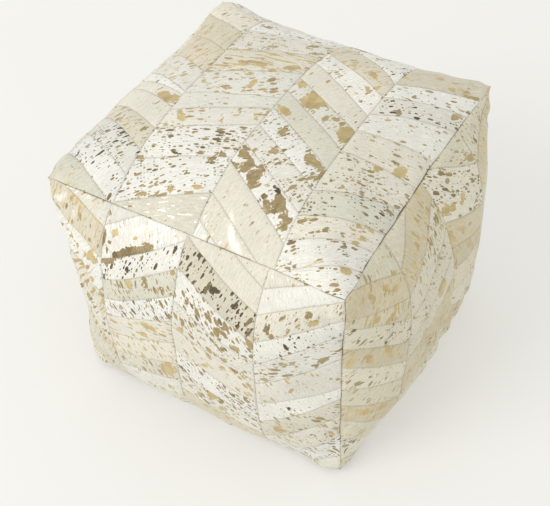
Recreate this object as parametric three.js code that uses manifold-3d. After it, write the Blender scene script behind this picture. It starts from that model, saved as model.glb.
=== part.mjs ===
// Cube pouf in chevron patchwork hide: twenty hide columns over five backing cloths,
// a cloth base in two halves joined by a zip, and a cotton inner bag of beads.
// Millimetres, +Z up. The origin is on the floor under the middle of the pouf.
import * as THREE from 'three';
import { mergeVertices } from 'three/addons/utils/BufferGeometryUtils.js';
import Module from 'manifold-3d';

// Driving dimensions of the stuffed form.
const PANEL_WIDTH = 450; // seam to seam across the top corners
const BASE_WIDTH = 443; // seam to seam across the base corners
const CORNER_HEIGHT = 403; // top corners above the floor
const BASE_SEAM_HEIGHT = 7; // the base seam stands clear of the floor
const TOP_CROWN = 45; // how far the top bulges above its corners
const SIDE_CROWN = 51; // how far each side bulges past its corners
const CROWN_POWER = 3.4; // how quickly a bulge falls away to its seams
const EDGE_PULL = 11; // how far the stuffing draws the middle of a seam inwards
const RIM_START = 0.86; // where the base starts to curve up to its seam
const RIM_MIDDLE = 0.93;
const LAYER_RADIUS = PANEL_WIDTH / 2; // the layers are scaled copies of this form

// Depths of the layers below the outer surface.
const HIDE = { outer: 0, inner: 2.5 };
const BACKING = { outer: 3, inner: 4.2 };
const INNER_BAG = { outer: 16, inner: 17.2 };
const CLOSURE_LIFT = 0.8; // the closing strip lies this far above the bag
const FILLING_DEPTH = 17.8;
const GAP = 0.4; // left between pieces that touch when sewn

// Chevron columns, as shares of each panel's width from its left edge.
const COLUMN_EDGES = {
  top: [0, 0.228, 0.515, 0.775, 1],
  front: [0, 0.212, 0.487, 0.762, 1],
  right: [0, 0.225, 0.495, 0.77, 1],
  back: [0, 0.22, 0.5, 0.775, 1],
  left: [0, 0.23, 0.505, 0.77, 1],
};
const COLUMN_STEPS = 3;
const LENGTH_STEPS = 8;
const BAG_STEPS = 6;

// Zip in the middle of the base, along X.
const ZIP_LENGTH = 320;
const ZIP_TRAVEL = 290;
const ZIP_HALF_GAP = 14; // half the opening between the base halves
const PLEAT_HEIGHT = 7; // the base is tucked up this far along the zip
const PLEAT_HALF_WIDTH = 50;
const BAG_PLEAT_HEIGHT = 10;
const TAPE = { near: 4.3, far: 18, low: 9.8, high: 10.6, overhang: 8 };
const CHAIN = { near: 0.8, far: 3.9, low: 8.9, high: 11.5 };
const STOP = { length: 4, width: 7.6, low: 8.5, high: 11.9 };
const SLIDER = { length: 15, width: 12, plate: 1.2, lip: 1.1, postWidth: 0.8, postLength: 3.6 };
const SLIDER_GAP = 0.4; // between the slider's plates and the chain
const BRIDGE = { length: 10, width: 2.6, drop: 3.4, openLength: 6.5, openHeight: 2.1 };
const PULL = { length: 24, width: 8, thickness: 1.3, bar: 1.3, eyeLength: 5.6, eyeWidth: 4.4 };

const wasm = await Module();
wasm.setup();

const FINISHES = {
  hide: { color: 0xebe6da, roughness: 0.62, metalness: 0 },
  backing: { color: 0xd8cfbd, roughness: 0.95, metalness: 0 },
  baseCloth: { color: 0xb7a78c, roughness: 0.92, metalness: 0 },
  zipTape: { color: 0xa89a80, roughness: 0.9, metalness: 0 },
  zipCoil: { color: 0x8c7b5e, roughness: 0.5, metalness: 0 },
  zipMetal: { color: 0xb08d4c, roughness: 0.35, metalness: 1 },
  innerCotton: { color: 0xf2efe6, roughness: 0.95, metalness: 0 },
  beads: { color: 0xfbfbf8, roughness: 0.6, metalness: 0 },
};

const pouf = new THREE.Group();

function addPiece(name, geometry, finish) {
  const mesh = new THREE.Mesh(geometry, new THREE.MeshStandardMaterial(FINISHES[finish]));
  mesh.name = name;
  pouf.add(mesh);
  return mesh;
}

// ---- The stuffed form -------------------------------------------------------

function smoothRise(value) {
  const t = THREE.MathUtils.clamp(value, 0, 1);
  return t * t * (3 - 2 * t);
}

function bulge(p, q) {
  return (1 - Math.abs(p) ** CROWN_POWER) * (1 - Math.abs(q) ** CROWN_POWER);
}

// How far a seam's pull still shows at a point inside its panel.
function seamPull(p, q) {
  return EDGE_PULL * ((1 - q * q) * p ** 4 + (1 - p * p) * q ** 4);
}

function topPoint(p, q) {
  const half = PANEL_WIDTH / 2;
  return new THREE.Vector3(
    half * p - EDGE_PULL * p * (1 - q * q),
    half * q - EDGE_PULL * q * (1 - p * p),
    CORNER_HEIGHT - seamPull(p, q) + TOP_CROWN * bulge(p, q),
  );
}

// The front panel; the other sides are this one turned about Z.
function sidePoint(p, q) {
  const rise = (q + 1) / 2;
  const half = THREE.MathUtils.lerp(BASE_WIDTH, PANEL_WIDTH, rise) / 2;
  const height = THREE.MathUtils.lerp(BASE_SEAM_HEIGHT, CORNER_HEIGHT, rise);
  return new THREE.Vector3(
    half * p - EDGE_PULL * p * (1 - q * q),
    -(half - seamPull(p, q) + SIDE_CROWN * bulge(p, q)),
    height - EDGE_PULL * (1 - p * p) * rise * rise,
  );
}

function basePoint(p, q, pleatHeight) {
  const half = BASE_WIDTH / 2;
  const y = half * q - EDGE_PULL * q * (1 - p * p);
  const reach = (Math.max(Math.abs(p), Math.abs(q)) - RIM_START) / (1 - RIM_START);
  const rim = BASE_SEAM_HEIGHT * smoothRise(reach);
  const pleat = pleatHeight * smoothRise((PLEAT_HALF_WIDTH - Math.abs(y)) / 30);
  return new THREE.Vector3(half * p - EDGE_PULL * p * (1 - q * q), y, Math.max(rim, pleat));
}

const SIDE_TURNS = { front: 0, right: Math.PI / 2, back: Math.PI, left: -Math.PI / 2 };
const UP = new THREE.Vector3(0, 0, 1);
const MIDDLE = new THREE.Vector3(0, 0, CORNER_HEIGHT / 2);

// A point of a panel at p, q from -1 to 1, sunk below the surface by a depth.
function formPoint(panel, p, q, depth, pleatHeight = PLEAT_HEIGHT) {
  let point;
  if (panel === 'top') point = topPoint(p, q);
  else if (panel === 'base') point = basePoint(p, q, pleatHeight);
  else point = sidePoint(p, q).applyAxisAngle(UP, SIDE_TURNS[panel]);
  return point.sub(MIDDLE).multiplyScalar(1 - depth / LAYER_RADIUS).add(MIDDLE);
}

// ---- Shells and solids bent to the form -------------------------------------

function closeSeams(geometry) {
  geometry.deleteAttribute('normal');
  geometry.deleteAttribute('uv');
  return mergeVertices(geometry, 1e-4);
}

function moveVertices(geometry, place) {
  const positions = geometry.attributes.position;
  const vertex = new THREE.Vector3();
  for (let index = 0; index < positions.count; index += 1) {
    vertex.fromBufferAttribute(positions, index);
    const moved = place(vertex);
    positions.setXYZ(index, moved.x, moved.y, moved.z);
  }
  return geometry;
}

// Turns the diagonals of a box's far face to lie under those of its near face,
// so that bent layers nest without cutting through each other.
function matchDiagonals(box) {
  const { start, count } = box.groups[5];
  for (let corner = start; corner < start + count; corner += 6) {
    const [a, b, d, , c] = box.index.array.slice(corner, corner + 5);
    box.index.array.set([a, b, c, a, c, d], corner);
  }
  return box;
}

// A sheet between two depths, over a grid of the panel's own p and q lines.
function sheet(panel, pLines, qLines, layer) {
  const columns = pLines.length - 1;
  const rows = qLines.length - 1;
  const box = new THREE.BoxGeometry(columns, rows, 1, columns, rows, 1);
  const slab = closeSeams(matchDiagonals(box));
  return moveVertices(slab, (vertex) => {
    const p = pLines[Math.round(vertex.x + columns / 2)];
    const q = qLines[Math.round(vertex.y + rows / 2)];
    return formPoint(panel, p, q, vertex.z > 0 ? layer.outer : layer.inner);
  });
}

function evenLines(from, to, steps) {
  const inset = GAP / PANEL_WIDTH;
  return Array.from({ length: steps + 1 }, (_, index) => {
    return THREE.MathUtils.lerp(from + inset, to - inset, index / steps);
  });
}

const LENGTH_LINES = evenLines(-1, 1, LENGTH_STEPS);

function columnLines(edges, index) {
  return evenLines(2 * edges[index] - 1, 2 * edges[index + 1] - 1, COLUMN_STEPS);
}

// Hide columns side by side over one backing cloth, which keeps all their lines.
function addPanel(panel, edges) {
  const backingLines = [];
  for (let index = 0; index < edges.length - 1; index += 1) {
    const lines = columnLines(edges, index);
    addPiece(`${panel}_column_${index + 1}`, sheet(panel, lines, LENGTH_LINES, HIDE), 'hide');
    backingLines.push(...(index === 0 ? lines : lines.slice(1)));
  }
  addPiece(`${panel}_backing`, sheet(panel, backingLines, LENGTH_LINES, BACKING), 'backing');
}

// ---- Base cloth --------------------------------------------------------------

const BASE_HALF = BASE_WIDTH / 2 - EDGE_PULL; // from the middle to the middle of a base seam
const PLEAT_STOPS = [ZIP_HALF_GAP, 20, 35, PLEAT_HALF_WIDTH]; // lines across the tuck

function negated(lines) {
  return lines.map((line) => -line).reverse();
}

// Two halves either side of the zip, and a short piece closing each of its ends.
// Lines along X run from right to left, because the base is seen from below.
function addBase() {
  const outer = 1 - GAP / PANEL_WIDTH;
  const across = evenLines(-1, 1, 4 * COLUMN_STEPS).reverse();
  const back = [...PLEAT_STOPS.map((stop) => stop / BASE_HALF), 0.5, RIM_START, RIM_MIDDLE, outer];
  addPiece('base_back_half', sheet('base', across, back, HIDE), 'baseCloth');
  addPiece('base_front_half', sheet('base', across, negated(back), HIDE), 'baseCloth');
  const zipEnd = (ZIP_LENGTH / 2 + TAPE.overhang + 3) / BASE_HALF;
  const right = [outer, RIM_MIDDLE, zipEnd];
  const share = (ZIP_HALF_GAP - GAP) / BASE_HALF;
  addPiece('base_end_right', sheet('base', right, [-share, share], HIDE), 'baseCloth');
  addPiece('base_end_left', sheet('base', negated(right), [-share, share], HIDE), 'baseCloth');
}

// ---- Inner bag and filling ---------------------------------------------------

function bagForm(depth) {
  const cube = new THREE.BoxGeometry(2, 2, 2, BAG_STEPS, BAG_STEPS, BAG_STEPS);
  return moveVertices(closeSeams(cube), (vertex) => {
    const { x, y, z } = vertex;
    if (z > 0.999) return formPoint('top', x, y, depth);
    if (z < -0.999) return formPoint('base', x, y, depth, BAG_PLEAT_HEIGHT);
    if (y < -0.999) return formPoint('front', x, z, depth);
    if (x > 0.999) return formPoint('right', y, z, depth);
    if (y > 0.999) return formPoint('back', -x, z, depth);
    return formPoint('left', -y, z, depth);
  });
}

function toSolid(geometry) {
  const closed = closeSeams(geometry);
  return new wasm.Manifold(new wasm.Mesh({
    numProp: 3,
    vertProperties: new Float32Array(closed.attributes.position.array),
    triVerts: new Uint32Array(closed.index.array),
  }));
}

function toGeometry(solid) {
  const mesh = solid.getMesh();
  const geometry = new THREE.BufferGeometry();
  geometry.setAttribute('position', new THREE.BufferAttribute(mesh.vertProperties, 3));
  geometry.setIndex(new THREE.BufferAttribute(mesh.triVerts, 1));
  return geometry;
}

function block(x, y, z, lengthX, lengthY, lengthZ) {
  return new THREE.BoxGeometry(lengthX, lengthY, lengthZ).translate(x, y, z);
}

function addBag() {
  const mouth = { length: 120, width: 8 };
  const crest = CORNER_HEIGHT + TOP_CROWN;
  const slot = toSolid(block(0, 0, crest, mouth.length, mouth.width, 60));
  const wall = toSolid(bagForm(INNER_BAG.outer)).subtract(toSolid(bagForm(INNER_BAG.inner)));
  addPiece('inner_bag', toGeometry(wall.subtract(slot)), 'innerCotton');
  const closureDepth = INNER_BAG.outer - CLOSURE_LIFT;
  const strip = block(0, 0, 0, mouth.length + 12, 20, 1);
  const level = formPoint('top', 0, 0, closureDepth).z;
  addPiece('inner_bag_closure', strip.translate(0, 0, level), 'innerCotton');
  addPiece('bead_filling', bagForm(FILLING_DEPTH), 'beads');
}

// ---- Zip ---------------------------------------------------------------------

function bar(section, length) {
  const { near, far, low, high } = section;
  return block(0, (near + far) / 2, (low + high) / 2, length, far - near, high - low);
}

function addZip() {
  const tapeLength = ZIP_LENGTH + 2 * TAPE.overhang;
  for (const [side, turn] of [['back', 0], ['front', Math.PI]]) {
    addPiece(`zip_tape_${side}`, bar(TAPE, tapeLength), 'zipTape').rotation.z = turn;
    addPiece(`zip_coil_${side}`, bar(CHAIN, ZIP_LENGTH), 'zipCoil').rotation.z = turn;
  }
  for (const [side, sign] of [['left', -1], ['right', 1]]) {
    const place = sign * (ZIP_LENGTH / 2 + STOP.length / 2 + GAP);
    const level = (STOP.low + STOP.high) / 2;
    const stop = block(place, 0, level, STOP.length, STOP.width, STOP.high - STOP.low);
    addPiece(`zip_stop_${side}`, stop, 'zipMetal');
  }
}

// A plate's outline: square at the mouth, narrowed and rounded at the tail.
function plateOutline() {
  const half = SLIDER.length / 2;
  const wide = SLIDER.width / 2;
  const narrow = wide * 0.78;
  const outline = new THREE.Shape();
  outline.moveTo(-half, -narrow + 1.5);
  outline.quadraticCurveTo(-half, -narrow, -half + 1.5, -narrow);
  outline.lineTo(half - 4, -wide);
  outline.quadraticCurveTo(half, -wide, half, -wide + 3);
  outline.lineTo(half, wide - 3);
  outline.quadraticCurveTo(half, wide, half - 4, wide);
  outline.lineTo(-half + 1.5, narrow);
  outline.quadraticCurveTo(-half, narrow, -half, narrow - 1.5);
  outline.closePath();
  return outline;
}

function bridgeOutline() {
  const half = BRIDGE.length / 2;
  const outline = new THREE.Shape();
  outline.moveTo(-half, 0.3);
  outline.lineTo(-half, -BRIDGE.drop + 1.2);
  outline.quadraticCurveTo(-half, -BRIDGE.drop, -half + 1.2, -BRIDGE.drop);
  outline.lineTo(half - 1.2, -BRIDGE.drop);
  outline.quadraticCurveTo(half, -BRIDGE.drop, half, -BRIDGE.drop + 1.2);
  outline.lineTo(half, 0.3);
  outline.closePath();
  return outline;
}

function extruded(outline, depth) {
  return new THREE.ExtrudeGeometry(outline, { depth, bevelEnabled: false, curveSegments: 3 });
}

function addSlider(place) {
  const lowerTop = CHAIN.low - SLIDER_GAP;
  const upperLow = CHAIN.high + SLIDER_GAP;
  const plateLow = lowerTop - SLIDER.plate;
  const lower = toSolid(extruded(plateOutline(), SLIDER.plate).translate(0, 0, plateLow));
  const upper = toSolid(extruded(plateOutline(), SLIDER.plate).translate(0, 0, upperLow));
  const postHeight = upperLow - lowerTop + SLIDER.plate;
  const postX = SLIDER.length / 2 - SLIDER.postLength / 2 - 0.6;
  const postZ = (upperLow + lowerTop) / 2;
  let slider = lower.add(upper);
  const post = block(postX, 0, postZ, SLIDER.postLength, SLIDER.postWidth, postHeight);
  slider = slider.add(toSolid(post));
  const lipY = CHAIN.far + SLIDER_GAP + SLIDER.lip / 2;
  for (const sign of [-1, 1]) {
    const lowLip = TAPE.low - SLIDER_GAP - plateLow;
    const highLip = upperLow + SLIDER.plate - TAPE.high - SLIDER_GAP;
    const lowCentre = plateLow + lowLip / 2;
    const highCentre = upperLow + SLIDER.plate - highLip / 2;
    slider = slider.add(toSolid(block(0, sign * lipY, lowCentre, 9, SLIDER.lip, lowLip)));
    slider = slider.add(toSolid(block(0, sign * lipY, highCentre, 9, SLIDER.lip, highLip)));
  }
  const stand = extruded(bridgeOutline(), BRIDGE.width).translate(0, 0, -BRIDGE.width / 2);
  const bridge = toSolid(stand.rotateX(Math.PI / 2).translate(0, 0, plateLow));
  const openLow = plateLow - BRIDGE.drop + 1;
  const openZ = openLow + BRIDGE.openHeight / 2;
  const opening = block(0, 0, openZ, BRIDGE.openLength, BRIDGE.width + 2, BRIDGE.openHeight);
  slider = slider.add(bridge).subtract(toSolid(opening));
  const mesh = addPiece('zip_slider', toGeometry(slider), 'zipMetal');
  mesh.position.x = place;
  return openZ;
}

// The pull lies flat along the zip; its cross bar runs through the bridge.
function addPull(place, level) {
  const half = PULL.width / 2;
  const end = PULL.length;
  const start = -PULL.bar / 2;
  const outline = new THREE.Shape();
  outline.moveTo(start, -half);
  outline.lineTo(end - half, -half);
  outline.absarc(end - half, 0, half, -Math.PI / 2, Math.PI / 2, false);
  outline.lineTo(start, half);
  outline.closePath();
  const eye = new THREE.Path();
  eye.moveTo(PULL.bar / 2, -PULL.eyeWidth / 2);
  eye.lineTo(PULL.bar / 2, PULL.eyeWidth / 2);
  eye.lineTo(PULL.bar / 2 + PULL.eyeLength, PULL.eyeWidth / 2);
  eye.lineTo(PULL.bar / 2 + PULL.eyeLength, -PULL.eyeWidth / 2);
  eye.closePath();
  outline.holes.push(eye);
  const hole = new THREE.Path();
  hole.absarc(end - half, 0, 1.6, 0, 2 * Math.PI, true);
  outline.holes.push(hole);
  const tab = new THREE.ExtrudeGeometry(outline, {
    depth: PULL.thickness, bevelEnabled: false, curveSegments: 6,
  });
  const mesh = addPiece('zip_pull', tab.translate(0, 0, -PULL.thickness / 2), 'zipMetal');
  mesh.position.set(place, 0, level);
}

for (const [panel, edges] of Object.entries(COLUMN_EDGES)) {
  addPanel(panel, edges);
}
addBase();
addBag();
addZip();
const closedEnd = -ZIP_TRAVEL / 2;
const pullLevel = addSlider(closedEnd);
addPull(closedEnd, pullLevel);

export default pouf;
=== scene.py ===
"""Square floor pouf in chevron patchwork hide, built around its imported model.

Twenty columns of slanting hide strips cover a stuffed form, with a cloth base that a zip closes.
Everything is in metres, +Z up, with the origin on the floor under the middle of the pouf.
"""
import functools
import math
import random

import bmesh
import bpy
import numpy as np
from mathutils import Matrix, Vector, noise


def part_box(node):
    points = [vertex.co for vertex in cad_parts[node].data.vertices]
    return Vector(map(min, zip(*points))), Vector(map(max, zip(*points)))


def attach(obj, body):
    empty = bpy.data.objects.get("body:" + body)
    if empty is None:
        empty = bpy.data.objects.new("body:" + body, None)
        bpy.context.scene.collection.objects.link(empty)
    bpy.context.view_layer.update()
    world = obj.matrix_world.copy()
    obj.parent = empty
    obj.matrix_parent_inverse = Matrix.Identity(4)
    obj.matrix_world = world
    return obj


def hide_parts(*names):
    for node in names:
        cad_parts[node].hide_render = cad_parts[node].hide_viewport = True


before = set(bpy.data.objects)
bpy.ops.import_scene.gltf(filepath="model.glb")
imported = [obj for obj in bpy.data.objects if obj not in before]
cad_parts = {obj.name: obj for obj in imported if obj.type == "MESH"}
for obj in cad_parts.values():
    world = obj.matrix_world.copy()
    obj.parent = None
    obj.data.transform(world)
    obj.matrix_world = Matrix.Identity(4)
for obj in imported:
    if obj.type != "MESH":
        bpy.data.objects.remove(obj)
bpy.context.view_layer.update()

bl_info = {
    "name": "Patchwork Hide Pouf",
    "version": (1, 0, 0),
    "blender": (4, 5, 0),
    "location": "3D View > Sidebar > Pouf",
    "description": "Builds a square stuffed pouf in chevron patchwork hide",
    "category": "Add Mesh",
}

MM = 0.001

# ---- The stuffed form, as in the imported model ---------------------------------

PANEL_WIDTH = 0.450
BASE_WIDTH = 0.443
CORNER_HEIGHT = 0.403
BASE_SEAM_HEIGHT = 0.007
TOP_CROWN = 0.045
SIDE_CROWN = 0.051
CROWN_POWER = 3.4
EDGE_PULL = 0.011
RIM_START = 0.86
PLEAT_HEIGHT = 0.007
PLEAT_HALF_WIDTH = 0.050
PLEAT_SLOPE = 0.030
ZIP_HALF_GAP = 0.014
LAYER_RADIUS = PANEL_WIDTH / 2
MIDDLE = np.array([0.0, 0.0, CORNER_HEIGHT / 2])
SIDE_TURNS = {"front": 0.0, "right": math.pi / 2, "back": math.pi, "left": -math.pi / 2}
PANELS = ("top", "front", "right", "back", "left")

# ---- The layers and their relief ----------------------------------------------

HIDE_THICKNESS = 2.0 * MM
BACKING_DEPTH = 4.6 * MM
BACKING_THICKNESS = 0.8 * MM
BACKING_REACH = 0.955
BAG_DEPTH = 16 * MM
BAG_THICKNESS = 0.8 * MM
FILLING_DEPTH = 18.5 * MM
LIP_RADIUS = 9 * MM
LIP_DEPTH = 1.5 * MM
CORNER_ROUNDING = 5.5 * MM
CORNER_REACH = 20 * MM
FLAT_WIDTH = 0.47
FLAT_HEIGHT = {"top": 0.47, "front": 0.43, "right": 0.43, "back": 0.43, "left": 0.43}
MESH_SPACING = 4.5 * MM
NEAR_SEAM = (0.0, 1.1 * MM, 2.7 * MM, 5.5 * MM)
FORM_STEPS = 44
GATHER_HEIGHT = 1.5 * MM
SEAM_WANDER = 2.2 * MM
CANVAS_THICKNESS = 1.6 * MM
TAPE_THICKNESS = 0.6 * MM
HEM_LENGTH = 0.392
STITCH_SPACING = 4 * MM
TOOTH_PITCH = 2 * MM

# ---- The strips of each column, back to front or top to bottom ------------------
# A cut is a seam: its height on the column's left and right edge, as a share of the panel.

COLUMN_EDGES = {
    "top": ((0, 0, 0), (0.238, 0.228, 0.228), (0.500, 0.517, 0.520), (0.764, 0.777, 0.774), (1, 1, 1)),
    "front": ((0, 0, 0), (0.212, 0.208, 0.232), (0.490, 0.490, 0.484), (0.762, 0.769, 0.748), (1, 1, 1)),
    "right": ((0, 0, 0), (0.225, 0.208, 0.262), (0.490, 0.488, 0.515), (0.760, 0.760, 0.766), (1, 1, 1)),
    "back": ((0, 0, 0), (0.220, 0.215, 0.222), (0.500, 0.495, 0.502), (0.775, 0.770, 0.778), (1, 1, 1)),
    "left": ((0, 0, 0), (0.230, 0.226, 0.234), (0.505, 0.500, 0.507), (0.770, 0.765, 0.772), (1, 1, 1)),
}

CUTS = {
    "top_column_1": (
        (1.02, 0.89), (0.90, 0.77), (0.78, 0.655), (0.665, 0.53), (0.556, 0.42), (0.50, 0.405),
        (0.46, 0.345), (0.375, 0.245), (0.312, 0.160), (0.22, 0.078), (0.125, -0.01),
    ),
    "top_column_2": (
        (0.92, 1.02), (0.80, 0.90), (0.665, 0.775), (0.53, 0.65), (0.415, 0.512), (0.330, 0.459),
        (0.245, 0.375), (0.13, 0.235), (0.005, 0.115),
    ),
    "top_column_3": (
        (0.95, 0.768), (0.82, 0.688), (0.73, 0.588), (0.625, 0.50), (0.55, 0.412), (0.463, 0.325),
        (0.378, 0.242), (0.30, 0.155), (0.22, 0.065), (0.115, -0.03), (0.04, -0.09),
    ),
    "top_column_4": (
        (0.86, 1.05), (0.77, 0.905), (0.69, 0.83), (0.60, 0.75), (0.51, 0.61), (0.41, 0.485),
        (0.24, 0.385), (0.15, 0.28), (0.075, 0.205), (-0.01, 0.12),
    ),
    "front_column_1": (
        (1.03, 0.932), (0.90, 0.825), (0.78, 0.66), (0.64, 0.52), (0.50, 0.38), (0.36, 0.24),
        (0.22, 0.10), (0.08, -0.04),
    ),
    "front_column_2": (
        (0.94, 1.10), (0.825, 0.985), (0.735, 0.91), (0.64, 0.82), (0.555, 0.718), (0.45, 0.605),
        (0.335, 0.49), (0.24, 0.395), (0.13, 0.28), (0.01, 0.16),
    ),
    "front_column_3": (
        (1.07, 0.948), (0.998, 0.868), (0.915, 0.757), (0.80, 0.665), (0.70, 0.565), (0.575, 0.44),
        (0.46, 0.33), (0.345, 0.21), (0.22, 0.09), (0.10, -0.03),
    ),
    "front_column_4": (
        (0.945, 1.05), (0.865, 0.99), (0.76, 0.90), (0.66, 0.815), (0.55, 0.68), (0.435, 0.52),
        (0.31, 0.455), (0.195, 0.355), (0.06, 0.23), (-0.06, 0.11),
    ),
    "right_column_1": (
        (1.02, 0.897), (0.89, 0.80), (0.845, 0.71), (0.73, 0.60), (0.625, 0.49), (0.505, 0.39),
        (0.41, 0.265), (0.32, 0.15), (0.21, 0.05), (0.09, -0.06),
    ),
    "right_column_2": (
        (0.905, 1.07), (0.80, 0.955), (0.69, 0.855), (0.58, 0.75), (0.49, 0.64), (0.385, 0.51),
        (0.27, 0.39), (0.15, 0.27), (0.03, 0.15),
    ),
    "right_column_3": (
        (1.045, 0.885), (0.865, 0.72), (0.765, 0.61), (0.67, 0.52), (0.56, 0.41), (0.45, 0.30),
        (0.34, 0.19), (0.23, 0.08), (0.12, -0.03),
    ),
    "right_column_4": (
        (0.88, 1.02), (0.77, 0.91), (0.66, 0.80), (0.55, 0.69), (0.44, 0.58), (0.33, 0.47),
        (0.22, 0.36), (0.11, 0.25), (0.0, 0.14),
    ),
}

# The hide of each strip. A strip's hair may run its own way, in degrees from the panel's
# left-to-right line: "tan dark @68".
HIDES = {
    "top_column_1": (
        "grey flecked", "cream few", "tan mottled", "tan mottled", "grey gold", "white few",
        "cream few", "cream plain", "tan specked", "grey dark", "white dark few", "green few",
    ),
    "top_column_2": (
        "grey few", "white specked", "grey specked", "gold streaked", "grey gold", "grey plain",
        "grey gold", "white flecked", "white flecked", "foil grey",
    ),
    "top_column_3": (
        "white dark few", "tan gold", "white few", "cream plain", "grey gold", "green plain",
        "white flecked", "grey specked", "white few", "cream plain", "cream foil", "white foil",
    ),
    "top_column_4": (
        "tan plain", "tan gold", "white few", "grey dark few", "white few", "cream few",
        "cream specked", "green specked", "cream few", "white streaked", "white streaked",
    ),
    "front_column_1": (
        "cream foil", "tan streaked", "white gold", "gold streaked", "grey flecked", "tan streaked",
        "green few", "tan specked", "cream few",
    ),
    "front_column_2": (
        "grey few", "white foil", "white dark few @72", "green flecked @-62", "white flecked @-50",
        "cream gold @12", "cream gold @-60", "green flecked @-60", "grey gold", "cream flecked",
        "grey flecked",
    ),
    "front_column_3": (
        "cream plain", "cream plain", "tan dark @68", "white brown @-52", "grey flecked @-50",
        "cream gold @-48", "white flecked @-50", "grey flecked @-50", "tan gold @-50",
        "grey flecked @-55", "cream flecked @-50",
    ),
    "front_column_4": (
        "cream foil", "white plain", "cream few @70", "white dark few @-60", "grey brown @8",
        "grey gold few", "white few @-60", "green flecked @-40", "cream flecked @-60", "white flecked",
        "cream flecked",
    ),
    "right_column_1": (
        "grey gold", "tan gold", "gold streaked", "grey dark few", "tan gold", "white few",
        "grey gold", "tan gold", "grey gold few", "white dark few", "cream few",
    ),
    "right_column_2": (
        "grey plain", "tan gold", "grey brown @80", "grey few", "grey gold few", "tan mottled @75",
        "tan streaked @72", "grey flecked @74", "tan streaked @70", "cream few",
    ),
    "right_column_3": (
        "grey few", "white flecked", "tan gold", "tan streaked @74", "cream few", "grey few",
        "tan streaked @74", "white flecked @76", "cream plain", "tan mottled @72",
    ),
    "right_column_4": (
        "grey specked", "tan gold", "cream few", "grey plain", "tan mottled", "white few",
        "cream gold", "grey flecked", "tan plain", "cream few",
    ),
}

# A hide's look: its hair colour, then how much it has of coarse flecks, fine specks, bronze in
# their colour, gold streaks along the hair and pale foil.
SHARES = ("coarse", "fine", "bronze", "streak", "foil")
LOOKS = {
    "white plain": ("white", 0.00, 0.06, 0.6, 0.0, 0.0),
    "white few": ("white", 0.18, 0.25, 0.45, 0.0, 0.1),
    "white specked": ("white", 0.30, 0.65, 0.5, 0.1, 0.0),
    "white flecked": ("white", 0.52, 0.55, 0.6, 0.0, 0.1),
    "white dark few": ("white", 0.22, 0.50, 0.95, 0.0, 0.0),
    "white brown": ("white", 0.72, 0.45, 0.6, 0.0, 0.0),
    "white gold": ("white", 0.40, 0.20, 0.1, 0.3, 0.2),
    "white foil": ("white", 0.10, 0.15, 0.2, 0.1, 0.9),
    "white streaked": ("white", 0.35, 0.40, 0.55, 0.35, 0.4),
    "cream plain": ("cream", 0.03, 0.10, 0.4, 0.0, 0.0),
    "cream few": ("cream", 0.18, 0.22, 0.35, 0.0, 0.0),
    "cream specked": ("cream", 0.30, 0.60, 0.5, 0.0, 0.0),
    "cream flecked": ("cream", 0.55, 0.40, 0.2, 0.1, 0.0),
    "cream gold": ("cream", 0.48, 0.20, 0.05, 0.2, 0.1),
    "cream foil": ("cream", 0.15, 0.20, 0.1, 0.3, 0.6),
    "grey plain": ("grey", 0.05, 0.12, 0.5, 0.0, 0.0),
    "grey few": ("grey", 0.20, 0.25, 0.5, 0.0, 0.0),
    "grey specked": ("grey", 0.35, 0.55, 0.5, 0.2, 0.0),
    "grey flecked": ("grey", 0.48, 0.40, 0.5, 0.0, 0.0),
    "grey gold": ("grey", 0.38, 0.30, 0.2, 0.1, 0.1),
    "grey gold few": ("grey", 0.28, 0.15, 0.0, 0.1, 0.0),
    "grey brown": ("grey", 0.62, 0.40, 0.4, 0.1, 0.0),
    "grey dark": ("grey", 0.30, 0.60, 0.85, 0.0, 0.0),
    "grey dark few": ("grey", 0.20, 0.50, 0.85, 0.0, 0.0),
    "green plain": ("green", 0.02, 0.10, 0.5, 0.0, 0.0),
    "green few": ("green", 0.16, 0.20, 0.2, 0.0, 0.1),
    "green specked": ("green", 0.22, 0.60, 0.75, 0.0, 0.0),
    "green flecked": ("green", 0.45, 0.35, 0.5, 0.0, 0.0),
    "foil grey": ("green", 0.10, 0.10, 0.3, 0.0, 0.7),
    "tan plain": ("tan", 0.08, 0.10, 0.3, 0.1, 0.0),
    "tan specked": ("tan", 0.25, 0.50, 0.5, 0.1, 0.0),
    "tan gold": ("tan", 0.40, 0.20, 0.0, 0.3, 0.0),
    "tan mottled": ("tan", 0.40, 0.30, 0.2, 0.5, 0.0),
    "tan streaked": ("tan", 0.30, 0.20, 0.3, 0.9, 0.0),
    "tan dark": ("tan", 0.46, 0.45, 1.0, 0.0, 0.0),
    "gold streaked": ("cream", 0.35, 0.20, 0.15, 1.0, 0.1),
}

# Painted shade: the right and left panels' hides are made darker and warmer than the same hides
# elsewhere.
PAINTED_SIDE_SHADE = {"right": np.array([0.930, 0.895, 0.780]), "left": np.array([0.96, 0.92, 0.83])}

# Columns whose hair runs along the strips; on the others it runs across them.
HAIR_ALONG = ("top_column_2", "top_column_4", "right_column_3")

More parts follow.
